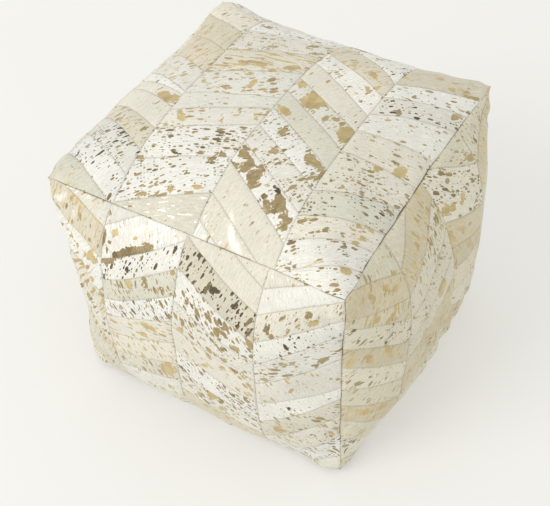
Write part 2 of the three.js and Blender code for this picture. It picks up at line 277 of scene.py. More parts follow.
# Large foil blotches: place across and up the panel, length and width in millimetres, the way
# the length points in degrees from the panel's left-to-right line, and bronze in the colour.
BLOTCHES = {
    "top": (
        (0.180, 0.388, 34, 19, -20, 0.2), (0.210, 0.378, 20, 20, -60, 0.2),
        (0.475, 0.657, 26, 18, 40, 0.15), (0.320, 0.613, 24, 12, -15, 0.2),
        (0.380, 0.625, 20, 14, 0, 0.15), (0.427, 0.615, 20, 9, 0, 0.15),
        (0.392, 0.552, 14, 9, 0, 0.15), (0.402, 0.520, 32, 10, 80, 0.15),
        (0.450, 0.572, 18, 9, 60, 0.5), (0.345, 0.478, 16, 7, 0, 0.35),
        (0.250, 0.545, 16, 8, -30, 0.3), (0.285, 0.312, 20, 14, -50, 0.1),
        (0.400, 0.350, 26, 7, -70, 0.2), (0.432, 0.405, 18, 7, -65, 0.3),
        (0.492, 0.400, 18, 8, -60, 0.1), (0.505, 0.445, 24, 7, -60, 0.2),
        (0.462, 0.828, 30, 11, 60, 0.4), (0.490, 0.780, 28, 10, 60, 0.4),
        (0.355, 0.735, 24, 8, 25, 0.35), (0.475, 0.225, 17, 12, 10, 0.6),
        (0.455, 0.200, 14, 9, 10, 0.6), (0.405, 0.141, 13, 8, 0, 0.6),
        (0.331, 0.083, 10, 6, 0, 0.75), (0.355, 0.063, 16, 7, 25, 0.7),
        (0.306, 0.048, 14, 7, 10, 0.7), (0.385, 0.084, 12, 9, 80, 0.4),
        (0.455, 0.114, 20, 6, 15, 0.25), (0.395, 0.225, 10, 5, 0, 0.6),
        (0.560, 0.975, 60, 26, -60, 0.4), (0.700, 0.763, 24, 12, -30, 0.05),
        (0.625, 0.790, 20, 12, -50, 0.1), (0.720, 0.690, 18, 12, -20, 0.0),
        (0.700, 0.655, 11, 7, 20, 0.2), (0.733, 0.632, 9, 5, 20, 0.4),
        (0.541, 0.600, 26, 14, -60, 0.2), (0.612, 0.560, 42, 32, -70, 0.2),
        (0.597, 0.530, 28, 20, -40, 0.2), (0.552, 0.462, 30, 15, -20, 0.15),
        (0.680, 0.495, 20, 10, 75, 0.3), (0.755, 0.478, 38, 25, -80, 0.25),
        (0.705, 0.512, 14, 8, 60, 0.4), (0.650, 0.545, 12, 8, 60, 0.4),
        (0.592, 0.382, 20, 10, 70, 0.4), (0.545, 0.400, 10, 5, 70, 0.5),
        (0.650, 0.343, 14, 6, 60, 0.5), (0.712, 0.328, 22, 20, -50, 0.35),
        (0.742, 0.322, 28, 13, -15, 0.35), (0.767, 0.285, 34, 9, 80, 0.45),
        (0.725, 0.290, 12, 6, 50, 0.4), (0.602, 0.302, 22, 13, 40, 0.35),
        (0.650, 0.274, 10, 5, 0, 0.6), (0.527, 0.264, 25, 16, -80, 0.5),
        (0.552, 0.247, 14, 12, 0, 0.5), (0.563, 0.222, 26, 18, 60, 0.55),
        (0.598, 0.198, 38, 19, -80, 0.6), (0.610, 0.220, 26, 13, -60, 0.5),
        (0.523, 0.213, 13, 9, -30, 0.8), (0.545, 0.205, 12, 6, 70, 0.6),
        (0.680, 0.190, 20, 8, -20, 0.9), (0.708, 0.150, 30, 20, -70, 0.68),
        (0.700, 0.165, 20, 16, 0, 0.62), (0.733, 0.135, 18, 12, -60, 0.6),
        (0.675, 0.133, 22, 12, -60, 0.62), (0.644, 0.140, 10, 8, 0, 0.8),
        (0.654, 0.160, 11, 7, 80, 0.8), (0.745, 0.105, 32, 13, 75, 0.6),
        (0.617, 0.113, 13, 5, 80, 0.3), (0.657, 0.080, 9, 4, 60, 0.7),
        (0.967, 0.900, 34, 12, 15, 0.3), (0.975, 0.800, 26, 10, 75, 0.3),
        (0.845, 0.655, 18, 8, -70, 0.5), (0.866, 0.802, 10, 6, 20, 0.6),
        (0.805, 0.785, 9, 5, 20, 0.6), (0.890, 0.438, 20, 13, 75, 0.05),
        (0.942, 0.480, 34, 13, 75, 0.05), (0.835, 0.295, 11, 7, 70, 0.3),
        (0.863, 0.155, 16, 10, 25, 0.7), (0.930, 0.228, 12, 10, 20, 0.1),
        (0.610, 0.040, 46, 12, -62, -1), (0.640, 0.012, 30, 12, -40, -1), (0.590, 0.075, 20, 8, -60, -1),
        (0.958, 0.255, 14, 11, 0, 0.0), (0.945, 0.202, 22, 9, 30, 0.15),
        (0.905, 0.172, 12, 6, 25, 0.4), (0.905, 0.142, 15, 5, 25, 0.6),
        (0.800, 0.020, 16, 6, 10, 0.8), (0.955, 0.085, 18, 14, 10, 0.0),
    ),
    "front": (
        (0.060, 0.945, 46, 12, 40, -1), (0.120, 0.930, 30, 9, 60, -1), (0.085, 0.700, 60, 7, 75, 0.1),
        (0.055, 0.640, 70, 6, 78, 0.1), (0.120, 0.560, 60, 6, 75, 0.15), (0.350, 0.975, 60, 8, 25, -1),
        (0.185, 0.808, 24, 18, 0, 0.0), (0.090, 0.815, 30, 20, 10, 0.1),
        (0.170, 0.700, 18, 10, 60, 0.0), (0.045, 0.895, 26, 10, 50, 0.4),
        (0.255, 0.840, 50, 11, 32, 0.55), (0.310, 0.880, 62, 21, 32, 0.80),
        (0.355, 0.910, 52, 19, 32, 0.65), (0.385, 0.928, 26, 10, 30, 0.35),
        (0.262, 0.932, 12, 9, 60, 0.0), (0.332, 0.942, 9, 7, 0, 0.1),
        (0.246, 0.882, 22, 8, 75, 0.75), (0.228, 0.900, 24, 7, 80, 0.7),
        (0.323, 0.832, 16, 6, 75, 1.0), (0.252, 0.788, 14, 6, -65, 0.2),
        (0.228, 0.765, 14, 7, 20, 0.2), (0.329, 0.785, 22, 14, -75, 0.15),
        (0.392, 0.820, 24, 9, -50, 0.55), (0.445, 0.826, 13, 8, -20, 0.5),
        (0.470, 0.892, 10, 9, 0, 0.4), (0.375, 0.812, 16, 6, -50, 0.5),
        (0.430, 0.765, 15, 6, -55, 0.4), (0.400, 0.728, 19, 7, -45, 0.5),
        (0.368, 0.715, 14, 7, -45, 0.35), (0.326, 0.628, 14, 8, -60, 0.4),
        (0.290, 0.615, 16, 5, 75, 0.5), (0.320, 0.695, 12, 6, -40, 0.3),
        (0.400, 0.632, 44, 12, 5, 0.05), (0.370, 0.572, 22, 13, 20, 0.05),
        (0.290, 0.440, 20, 8, 75, 0.1), (0.345, 0.420, 18, 10, 60, 0.1),
        (0.450, 0.432, 42, 27, 65, 0.0), (0.445, 0.315, 22, 11, 70, 0.2),
        (0.592, 0.893, 22, 8, 75, 0.85), (0.612, 0.890, 13, 8, 80, 1.0),
        (0.628, 0.897, 10, 5, 80, 1.0), (0.690, 0.874, 14, 6, 70, 0.95),
        (0.742, 0.832, 18, 8, 80, 0.85), (0.710, 0.820, 16, 5, 75, 0.95),
        (0.650, 0.845, 12, 5, 80, 1.0), (0.638, 0.852, 11, 5, 75, 1.0),
        (0.745, 0.788, 14, 6, 70, 0.9), (0.612, 0.797, 20, 9, -60, 0.65),
        (0.538, 0.812, 18, 7, -50, 0.6), (0.572, 0.796, 18, 7, -55, 0.6),
        (0.645, 0.748, 26, 8, -55, 0.5), (0.665, 0.762, 22, 9, -45, 0.5),
        (0.672, 0.788, 16, 8, -60, 0.6), (0.705, 0.714, 18, 11, -20, 0.35),
        (0.748, 0.750, 40, 11, -62, 0.3), (0.525, 0.738, 18, 8, -60, 0.4),
        (0.518, 0.695, 20, 12, 20, 0.0), (0.625, 0.660, 24, 11, -30, 0.4),
        (0.603, 0.705, 14, 7, -30, 0.4), (0.668, 0.635, 12, 9, 0, 0.3),
        (0.705, 0.592, 14, 9, -45, 0.35), (0.663, 0.583, 16, 9, 65, 0.1),
        (0.600, 0.563, 22, 10, 50, 0.0), (0.750, 0.540, 26, 7, -70, 0.3),
        (0.612, 0.385, 26, 17, 55, 0.15), (0.560, 0.362, 14, 7, 60, 0.05),
        (0.640, 0.322, 22, 10, 65, 0.1), (0.897, 0.909, 14, 12, 10, 0.6),
        (0.922, 0.912, 9, 6, 20, 0.6), (0.913, 0.880, 17, 13, 10, 0.2),
        (0.830, 0.875, 13, 7, 60, 0.6), (0.797, 0.838, 20, 7, 80, 0.7),
        (0.808, 0.806, 17, 9, -30, 0.6), (0.852, 0.835, 20, 7, 70, 0.35),
        (0.775, 0.795, 14, 6, 85, 0.4), (0.876, 0.802, 10, 9, 0, 0.95),
        (0.893, 0.815, 12, 4, -70, 1.0), (0.857, 0.768, 9, 6, 0, 0.9),
        (0.927, 0.784, 6, 6, 0, 1.0), (0.955, 0.800, 7, 4, -60, 0.95),
        (0.832, 0.655, 16, 10, 0, 0.4), (0.868, 0.683, 30, 9, 0, 0.35),
        (0.936, 0.670, 14, 10, -40, 0.45), (0.958, 0.692, 16, 12, 30, 0.4),
        (0.800, 0.587, 15, 9, 0, 0.3), (0.788, 0.620, 9, 8, 0, 0.4),
        (0.872, 0.530, 16, 6, 75, 0.1), (0.802, 0.462, 11, 7, 0, 0.15),
        (0.866, 0.428, 11, 5, -60, 1.0), (0.883, 0.425, 9, 5, -60, 1.0),
        (0.909, 0.432, 11, 4, -75, 0.95), (0.970, 0.471, 9, 5, -60, 0.85),
        (0.835, 0.285, 30, 17, -45, 0.05), (0.962, 0.260, 13, 6, -60, 0.4),
        (0.926, 0.262, 11, 6, -60, 0.6), (0.965, 0.205, 14, 9, 0, 0.4),
    ),
    "right": (
        (0.100, 0.925, 22, 9, -60, 0.0), (0.160, 0.900, 18, 12, 60, 0.0),
        (0.190, 0.882, 16, 10, 0, 0.0), (0.215, 0.915, 13, 8, 30, 0.1),
        (0.095, 0.820, 18, 12, 0, 0.15), (0.155, 0.800, 34, 7, 50, 0.1),
        (0.130, 0.790, 30, 6, 50, 0.2), (0.036, 0.765, 22, 6, 80, 0.7),
        (0.070, 0.732, 10, 6, -20, 0.7), (0.090, 0.724, 10, 6, -20, 0.7),
        (0.103, 0.722, 9, 5, 60, 0.6), (0.172, 0.688, 10, 5, -40, 0.4),
        (0.117, 0.685, 6, 6, 0, 0.9), (0.065, 0.638, 34, 12, -75, 0.1),
        (0.020, 0.640, 24, 8, 80, 0.1), (0.130, 0.625, 34, 12, -80, 0.0),
        (0.168, 0.560, 26, 7, -75, 0.0), (0.040, 0.518, 15, 11, -30, 0.55),
        (0.072, 0.530, 13, 4, -50, 0.6), (0.095, 0.520, 13, 4, -50, 0.6),
        (0.125, 0.472, 12, 5, 70, 0.5), (0.072, 0.490, 13, 4, 70, 0.5),
        (0.060, 0.335, 30, 14, -40, 0.0), (0.130, 0.290, 26, 17, -60, 0.0),
        (0.065, 0.215, 13, 9, 40, 0.2), (0.280, 0.048, 26, 17, -70, 0.0),
        (0.365, 0.922, 14, 10, -20, 0.1), (0.345, 0.905, 12, 9, 0, 0.15),
        (0.285, 0.840, 20, 7, 70, 0.1), (0.300, 0.875, 20, 6, 60, 0.1),
        (0.425, 0.910, 11, 6, 30, 0.5), (0.470, 0.908, 9, 8, 0, 0.6),
        (0.442, 0.882, 9, 6, 70, 0.6), (0.398, 0.872, 10, 7, 30, 0.5),
        (0.405, 0.670, 34, 26, 75, 0.0), (0.362, 0.820, 8, 8, 0, 0.7),
        (0.535, 0.893, 26, 18, -20, 0.05), (0.562, 0.880, 20, 12, -30, 0.05),
        (0.625, 0.858, 28, 11, 15, 0.1), (0.607, 0.942, 10, 8, -30, 0.3),
        (0.747, 0.922, 34, 11, -40, 0.3), (0.575, 0.780, 26, 10, -40, 0.0),
        (0.515, 0.800, 26, 13, -70, 0.05), (0.630, 0.650, 40, 12, -45, 0.15),
        (0.660, 0.590, 34, 11, -50, 0.2), (0.300, 0.500, 26, 12, -60, 0.05),
        (0.915, 0.950, 20, 8, -50, 0.0), (0.950, 0.250, 30, 14, -60, 0.05),
    ),
}

# Creases pressed into a panel: from and to, then depth and half width in millimetres.
CREASES = {
    "front": (
        ((0.035, 0.905), (0.150, 0.640), 5.0, 7), ((0.075, 0.880), (0.200, 0.560), 4.0, 6),
        ((0.020, 0.760), (0.120, 0.420), 4.2, 7), ((0.030, 0.870), (0.190, 0.840), 3.2, 5),
        ((0.930, 0.975), (0.985, 0.820), 1.8, 5),
    ),
    "top": (
        ((0.905, 0.865), (0.992, 0.925), 3.0, 6), ((0.925, 0.985), (0.985, 0.905), 2.2, 5),
        ((0.900, 0.110), (0.990, 0.095), 1.6, 5), ((0.015, 0.130), (0.110, 0.060), 2.0, 6),
    ),
    "right": (
        ((0.020, 0.965), (0.120, 0.860), 2.0, 6), ((0.010, 0.880), (0.140, 0.800), 1.6, 6),
        ((0.270, 0.640), (0.420, 0.180), 3.0, 7), ((0.360, 0.620), (0.520, 0.140), 3.0, 8),
        ((0.480, 0.560), (0.620, 0.120), 3.2, 8), ((0.600, 0.520), (0.740, 0.150), 2.6, 8),
        ((0.900, 0.960), (0.985, 0.860), 2.2, 6), ((0.150, 0.120), (0.700, 0.080), 2.0, 9),
        ((0.180, 0.070), (0.620, 0.050), 1.6, 7),
    ),
    "back": (
        ((0.040, 0.900), (0.160, 0.660), 2.6, 7), ((0.880, 0.930), (0.975, 0.800), 2.0, 6),
        ((0.300, 0.090), (0.820, 0.110), 1.8, 8),
    ),
    "left": (
        ((0.860, 0.900), (0.965, 0.640), 2.8, 7), ((0.040, 0.940), (0.130, 0.800), 2.0, 6),
        ((0.200, 0.100), (0.700, 0.070), 1.8, 8),
    ),
}


# ---- Shape of the stuffed form --------------------------------------------------

def smooth_rise(value):
    """A smooth step from 0 to 1."""
    t = np.clip(value, 0, 1)
    return t * t * (3 - 2 * t)


def crown(p, q):
    """How far a panel has risen at a point, from 0 at its seams to 1 in its middle."""
    return (1 - np.abs(p) ** CROWN_POWER) * (1 - np.abs(q) ** CROWN_POWER)


def seam_pull(p, q):
    """How far a seam's pull still shows at a point inside its panel."""
    return EDGE_PULL * ((1 - q * q) * p**4 + (1 - p * p) * q**4)


def top_form(p, q):
    """The crowned top panel."""
    half = PANEL_WIDTH / 2
    x = half * p - EDGE_PULL * p * (1 - q * q)
    y = half * q - EDGE_PULL * q * (1 - p * p)
    return np.stack([x, y, CORNER_HEIGHT - seam_pull(p, q) + TOP_CROWN * crown(p, q)], -1)


def side_form(p, q, turn):
    """A side panel: the front one, turned about Z."""
    rise = (q + 1) / 2
    half = (BASE_WIDTH + (PANEL_WIDTH - BASE_WIDTH) * rise) / 2
    height = BASE_SEAM_HEIGHT + (CORNER_HEIGHT - BASE_SEAM_HEIGHT) * rise
    across = half * p - EDGE_PULL * p * (1 - q * q)
    out = half - seam_pull(p, q) + SIDE_CROWN * crown(p, q)
    z = height - EDGE_PULL * (1 - p * p) * rise * rise
    x = across * math.cos(turn) + out * math.sin(turn)
    y = across * math.sin(turn) - out * math.cos(turn)
    return np.stack([x, y, z], -1)


def base_form(p, q):
    """The flat base, raised at its rim and in a pleat along the zip."""
    half = BASE_WIDTH / 2
    x = half * p - EDGE_PULL * p * (1 - q * q)
    y = half * q - EDGE_PULL * q * (1 - p * p)
    reach = (np.maximum(np.abs(p), np.abs(q)) - RIM_START) / (1 - RIM_START)
    pleat = PLEAT_HEIGHT * smooth_rise((PLEAT_HALF_WIDTH - np.abs(y)) / PLEAT_SLOPE)
    return np.stack([x, y, np.maximum(BASE_SEAM_HEIGHT * smooth_rise(reach), pleat)], -1)


def plain_form(panel, p, q):
    """A panel of the form before it is filled."""
    if panel == "top":
        return top_form(p, q)
    if panel == "base":
        return base_form(p, q)
    return side_form(p, q, SIDE_TURNS[panel])


def sunk(points, depth):
    """The same points on a layer at a depth below the surface."""
    share = 1 - np.asarray(depth) / LAYER_RADIUS
    return MIDDLE + (points - MIDDLE) * np.reshape(share, np.shape(share) + (1,))


def cube_panel(cube, panel):
    """Which points of a cube from -1 to 1 lie on a panel, and their p and q there."""
    x, y, z = cube.T
    near = 1 - 1e-4
    sides = {
        "top": (z > near, x, y), "base": (z < -near, x, y), "front": (y < -near, x, z),
        "right": (x > near, y, z), "back": (y > near, -x, z), "left": (x < -near, -y, z),
    }
    return sides[panel]


def ripple(points, pitch, shift):
    """Smooth unevenness at points, from about -1 to 1."""
    return np.array([noise.noise(Vector(point) * pitch + Vector(shift)) for point in points])


def gentle_waves(points):
    """Slow unevenness of the filling under the hide, in metres along the outward way."""
    slow = ripple(points, 9, (3.1, 0.4, 7.7))
    middling = ripple(points, 17, (0.3, 5.1, 6.2))
    quick = ripple(points, 30, (1.7, 8.2, 2.9))
    return 2.6 * MM * slow + 1.9 * MM * middling + 1.5 * MM * quick


def shoulder(points):
    """The filling stands proud along the top's left edge, towards the front."""
    away = (points - np.array([-0.222, -0.060, 0.398])) / np.array([0.055, 0.110, 0.075])
    push = np.exp(-np.sum(away**2, axis=-1) / 2)[..., None]
    return push * np.array([-0.0115, 0.0, 0.005])


def corner_rounding(points):
    """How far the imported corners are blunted."""
    blunt = 0
    for half, height in ((PANEL_WIDTH / 2, CORNER_HEIGHT), (BASE_WIDTH / 2, BASE_SEAM_HEIGHT)):
        away = np.linalg.norm(np.abs(points) - np.array([half, half, height]), axis=-1)
        blunt = blunt + CORNER_ROUNDING * np.exp(-((away / CORNER_REACH) ** 2))
    return blunt


def cube_mesh(steps):
    """A cube from -1 to 1 divided into even squares, and its points."""
    bm = bmesh.new()
    bmesh.ops.create_cube(bm, size=2)
    bmesh.ops.subdivide_edges(bm, edges=bm.edges[:], cuts=steps - 1, use_grid_fill=True)
    return bm, np.array([v.co for v in bm.verts])


def swollen(bm, cap):
    """Blows the closed form up as cloth and returns how far each point moved, up to a cap."""
    settings = bpy.context.scene.pouf_form
    start = np.array([v.co for v in bm.verts])
    mesh = bpy.data.meshes.new("swelling")
    bm.to_mesh(mesh)
    body = bpy.data.objects.new("swelling", mesh)
    bpy.context.scene.collection.objects.link(body)
    held = body.vertex_groups.new(name="held")
    low = [i for i, point in enumerate(start) if point[2] < BASE_SEAM_HEIGHT * 1.5]
    held.add(low, 1.0, "REPLACE")
    cloth = body.modifiers.new("cloth", "CLOTH")
    stuff = {
        "quality": 6, "mass": 0.3, "tension_stiffness": 30, "compression_stiffness": 30,
        "shear_stiffness": 12, "bending_stiffness": 1.5, "shrink_min": -settings.slack,
        "use_pressure": True, "uniform_pressure_force": settings.pressure, "vertex_group_mass": "held",
    }
    for key, value in stuff.items():
        setattr(cloth.settings, key, value)
    cloth.settings.effector_weights.gravity = 0
    cloth.collision_settings.use_collision = False
    for step in range(1, settings.steps + 1):
        bpy.context.scene.frame_set(step)
    graph = bpy.context.evaluated_depsgraph_get()
    puffed = body.evaluated_get(graph).to_mesh()
    end = np.empty(len(puffed.vertices) * 3)
    puffed.vertices.foreach_get("co", end)
    move = end.reshape(-1, 3) - start
    body.evaluated_get(graph).to_mesh_clear()
    bpy.data.objects.remove(body)
    bpy.data.meshes.remove(mesh)
    bpy.context.scene.frame_set(1)
    length = np.linalg.norm(move, axis=1, keepdims=True)
    return move * np.minimum(1, cap / np.maximum(length, 1e-9))


@functools.lru_cache(maxsize=1)
def form_moves():
    """How the stuffed form differs from the plain one: a grid of moves for each panel."""
    bm, cube = cube_mesh(FORM_STEPS)
    plain = np.zeros_like(cube)
    for panel in PANELS + ("base",):
        on, p, q = cube_panel(cube, panel)
        plain[on] = plain_form(panel, p[on], q[on])
    settings = bpy.context.scene.pouf_form
    smaller = sunk(plain, settings.start_depth)
    smaller[:, 2] = np.maximum(smaller[:, 2], plain[:, 2] * 0.999)
    place_verts(bm, smaller)
    outward = (plain - MIDDLE) / np.linalg.norm(plain - MIDDLE, axis=1, keepdims=True)
    move = np.zeros_like(plain)
    move = swollen(bm, settings.cap) + smaller - plain
    move -= outward * np.mean(np.sum(move * outward, axis=1))
    waves = gentle_waves(plain)
    above_base = smooth_rise((plain[:, 2] - BASE_SEAM_HEIGHT) / 0.05)[:, None]
    move = (move + outward * waves[:, None] + shoulder(plain)) * above_base
    bm.free()
    grids = {}
    for panel in PANELS + ("base",):
        on, p, q = cube_panel(cube, panel)
        grid = np.zeros((FORM_STEPS + 1, FORM_STEPS + 1, 3))
        column = np.rint((p[on] + 1) / 2 * FORM_STEPS).astype(int)
        row = np.rint((q[on] + 1) / 2 * FORM_STEPS).astype(int)
        grid[column, row] = move[on]
        grids[panel] = grid
    return grids


def spline_weights(x, steps):
    """Grid lines around a place from -1 to 1, and their weights on a smooth curve through them."""
    place = (np.clip(x, -1, 1) + 1) / 2 * steps
    first = np.clip(np.floor(place).astype(int), 0, steps - 1)
    f = place - first
    weights = (
        (-f + 2 * f**2 - f**3) / 2, (2 - 5 * f**2 + 3 * f**3) / 2,
        (f + 4 * f**2 - 3 * f**3) / 2, (f**3 - f**2) / 2,
    )
    lines = [np.clip(first + shift, 0, steps) for shift in (-1, 0, 1, 2)]
    return list(zip(lines, weights))


def distance_to_line(s, t, start, end, panel):
    """Metres from points of a panel to a line across it, and the share of the way along it."""
    size = np.array([FLAT_WIDTH, FLAT_HEIGHT[panel]])
    a, b = np.array(start) * size, np.array(end) * size
    points = np.stack([s, t], -1) * size
    along = np.clip((points - a) @ (b - a) / np.sum((b - a) ** 2), 0, 1)
    nearest = a + along[..., None] * (b - a)
    return np.linalg.norm(points - nearest, axis=-1), along


def crease_depth(panel, p, q):
    """How far the panel's creases press in at a point."""
    s, t = (p + 1) / 2, (q + 1) / 2
    depth = np.zeros_like(s)
    for start, end, deep, half_width in CREASES.get(panel, ()):
        away, along = distance_to_line(s, t, start, end, panel)
        strength = np.sin(np.pi * np.clip(along, 0.04, 0.96)) ** 0.6
        depth += deep * MM * strength * np.exp(-((away / (half_width * MM)) ** 2))
        ridge = np.exp(-(((away - 2.1 * half_width * MM) / (half_width * MM)) ** 2))
        depth -= 0.35 * deep * MM * strength * ridge
    return depth


def surface(panel, p, q):
    """Points of the stuffed form."""
    points = plain_form(panel, p, q)
    grid = form_moves()[panel]
    for column, across in spline_weights(p, FORM_STEPS):
        for row, up in spline_weights(q, FORM_STEPS):
            points = points + grid[column, row] * (across * up)[..., None]
    if panel in CREASES:
        inside = smooth_rise((1 - np.maximum(np.abs(p), np.abs(q))) / 0.04)
        points = sunk(points, crease_depth(panel, p, q) * inside)
    return sunk(points, corner_rounding(points))


def outward_way(panel, p, q):
    """The surface's outward direction."""
    step = 0.01
    across = surface(panel, np.minimum(p + step, 1), q) - surface(panel, np.maximum(p - step, -1), q)
    up = surface(panel, p, np.minimum(q + step, 1)) - surface(panel, p, np.maximum(q - step, -1))
    way = np.cross(across, up)
    return way / np.linalg.norm(way, axis=-1, keepdims=True)


# ---- Mesh helpers ----------------------------------------------------------------

def new_object(name, bm, material):
    """An object in the scene from a bmesh, which is used up."""
    mesh = bpy.data.meshes.new(name)
    bm.to_mesh(mesh)
    bm.free()
    mesh.materials.append(material)
    made = bpy.data.objects.new(name, mesh)
    bpy.context.scene.collection.objects.link(made)
    return made


def add_object(name, bm, material, body="root", smooth=True):
    """A finished piece from a bmesh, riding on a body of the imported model."""
    for face in bm.faces:
        face.smooth = smooth
    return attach(new_object(name, bm, material), body)


def fitted(piece, node):
    """Puts a finished piece in the place of its packed one."""
    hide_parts(node)
    return piece


def thicken(piece, thickness):
    """Gives a sheet its thickness, inwards."""
    solid = piece.modifiers.new("thickness", "SOLIDIFY")
    solid.thickness = thickness
    solid.offset = -1
    solid.use_even_offset = False


def place_verts(bm, points):
    """Moves a mesh's vertices to points, in order."""
    for vertex, point in zip(bm.verts, points):
        vertex.co = point


def flat_coordinates(bm):
    """The first two coordinates of a mesh's vertices."""
    flat = np.array([v.co for v in bm.verts])
    return flat[:, 0], flat[:, 1]


def uneven_grid(bm, across, up):
    """Adds a grid whose lines lie at given shares from 0 to 1, and returns its vertices."""
    columns, rows = len(across) - 1, len(up) - 1
    made = bmesh.ops.create_grid(bm, x_segments=columns, y_segments=rows, size=0.5)["verts"]
    for vertex in made:
        column = round((vertex.co.x + 0.5) * columns)
        row = round((vertex.co.y + 0.5) * rows)
        vertex.co = (across[column], up[row], 0)
    return made


def seam_lines(length, spacing=MESH_SPACING):
    """Shares of a length, closer together beside both ends."""
    room = length - 2 * NEAR_SEAM[-1]
    if room < spacing:
        return [0, 0.12, 0.3, 0.5, 0.7, 0.88, 1]
    count = max(1, round(room / spacing))
    inner = [NEAR_SEAM[-1] + room * step / count for step in range(1, count)]
    lines = list(NEAR_SEAM) + inner + [length - near for near in reversed(NEAR_SEAM)]
    return [line / length for line in lines]


# ---- Hide columns ------------------------------------------------------------------

def regular_cuts(name):
    """Cuts and hides of a column on the back or the left, chosen by a fixed seed."""
    chance = random.Random(name)
    lean = -0.14 if name[-1] in "13" else 0.14
    height = 1.06 + chance.uniform(0, 0.05)
    cuts = []
    while height > -0.05:
        cuts.append((height - lean / 2, height + lean / 2))
        height -= chance.uniform(0.088, 0.125)
    names = sorted(LOOKS)
    return tuple(cuts), tuple(chance.choice(names) for _ in range(len(cuts) + 1))


def column_plan(name):
    """The column's seams from top to bottom, past both ends, and the look of each strip."""
    if name in CUTS:
        cuts, hides = list(CUTS[name]), list(HIDES[name])
    else:
        cuts, hides = (list(part) for part in regular_cuts(name))
    step = 0.12
    above = tuple(height + step for height in cuts[0])
    while min(above) < 1.001:
        cuts.insert(0, above)
        hides.insert(0, hides[0])
        above = tuple(height + step for height in above)
    cuts.insert(0, above)
    below = tuple(height - step for height in cuts[-1])
    while max(below) > -0.001:
        cuts.append(below)
        hides.append(hides[-1])
        below = tuple(height - step for height in below)
    cuts.append(below)
    return cuts, hides


def edge_place(edge, t):
    """Where a column's edge runs at a height, through its low, middle and high place."""
    low, middle, high = edge
    t = np.clip(t, 0, 1)
    return low * (1 - t) * (1 - 2 * t) + middle * 4 * t * (1 - t) + high * t * (2 * t - 1)


def mix(a, b, share):
    """From a to b by a share."""
    return a + (b - a) * share


class Column:
    """One column's flat cutting plan."""

    def __init__(self, name):
        self.name = name
        self.panel, number = name.split("_column_")
        self.number = int(number)
        self.cuts, self.hides = column_plan(name)
        edges = COLUMN_EDGES[self.panel]
        self.left, self.right = edges[self.number - 1], edges[self.number]
        self.width = (self.right[1] - self.left[1]) * FLAT_WIDTH
        self.height = FLAT_HEIGHT[self.panel]

    def across(self, s, t):
        """The share of the way from the column's left edge to its right one."""
        left, right = edge_place(self.left, t), edge_place(self.right, t)
        return (s - left) / (right - left)

    def cut_height(self, cut, across):
        """Where a slanting seam runs at a share of the way across."""
        return mix(self.cuts[cut][0], self.cuts[cut][1], across)

    def lean(self, strip):
        """The way the strip runs, in radians from the panel's left-to-right line."""
        rise = sum(self.cuts[strip + end][1] - self.cuts[strip + end][0] for end in (0, 1)) / 2
        return math.atan2(rise * self.height, self.width)

    def flat_mesh(self):
        """Strips as grids between their seams, joined and trimmed to the panel's ends."""
        bm = bmesh.new()
        strip_layer = bm.faces.layers.int.new("strip")
        across = seam_lines(self.width)
        for strip in range(len(self.cuts) - 1):
            before = len(bm.faces)
            upper, lower = self.cuts[strip], self.cuts[strip + 1]
            thickness = (sum(upper) - sum(lower)) / 2 * self.height * math.cos(self.lean(strip))
            made = uneven_grid(bm, across, seam_lines(thickness))
            for vertex in made:
                a, b = vertex.co.x, vertex.co.y
                t = mix(self.cut_height(strip + 1, a), self.cut_height(strip, a), b)
                s = mix(float(edge_place(self.left, t)), float(edge_place(self.right, t)), a)
                vertex.co = (s, t, 0)
            bm.faces.ensure_lookup_table()
            for face in bm.faces[before:]:
                face[strip_layer] = strip
        bmesh.ops.remove_doubles(bm, verts=bm.verts[:], dist=1e-5)
        for end in (0, 1):
            way = 1 if end else -1
            for near in NEAR_SEAM:
                level = end - way * near / self.height
                geometry = bm.verts[:] + bm.edges[:] + bm.faces[:]
                bmesh.ops.bisect_plane(
                    bm, geom=geometry, dist=1e-6, plane_co=(0, level, 0), plane_no=(0, way, 0),
                    clear_outer=near == 0,
                )
        bmesh.ops.remove_doubles(bm, verts=bm.verts[:], dist=2e-5)
        return bm, strip_layer

    def seam_distances(self, s, t, strip):
        """Metres to the nearest slanting seam and to the nearest column edge."""
        a = self.across(s, t)
        to_side = np.minimum(a, 1 - a) * self.width
        lowered = math.cos(self.lean(strip)) * self.height
        to_cut = np.minimum(self.cut_height(strip, a) - t, t - self.cut_height(strip + 1, a))
        return np.maximum(to_cut, 0) * lowered, np.maximum(to_side, 0)


def blotch_field(column, strip, s, t):
    """Depth inside the nearest foil blotch of a strip in metres, negative outside, and its tone."""
    best, tone = np.full(np.shape(s), -0.02), np.zeros(np.shape(s))
    for place_s, place_t, length, width, angle, bronze in BLOTCHES.get(column.panel, ()):
        a = column.across(place_s, place_t)
        inside = column.cut_height(strip + 1, a) < place_t <= column.cut_height(strip, a)
        if not (0 <= a < 1 and inside):
            continue
        x = (s - place_s) * FLAT_WIDTH
        y = (t - place_t) * column.height
        turn = math.radians(angle)
        u = (x * math.cos(turn) + y * math.sin(turn)) / (length * MM / 2)
        v = (y * math.cos(turn) - x * math.sin(turn)) / (width * MM / 2)
        depth = (1 - np.sqrt(u * u + v * v)) * width * MM / 2
        tone = np.where(depth > best, bronze, tone)
        best = np.maximum(best, depth)
    return best, tone


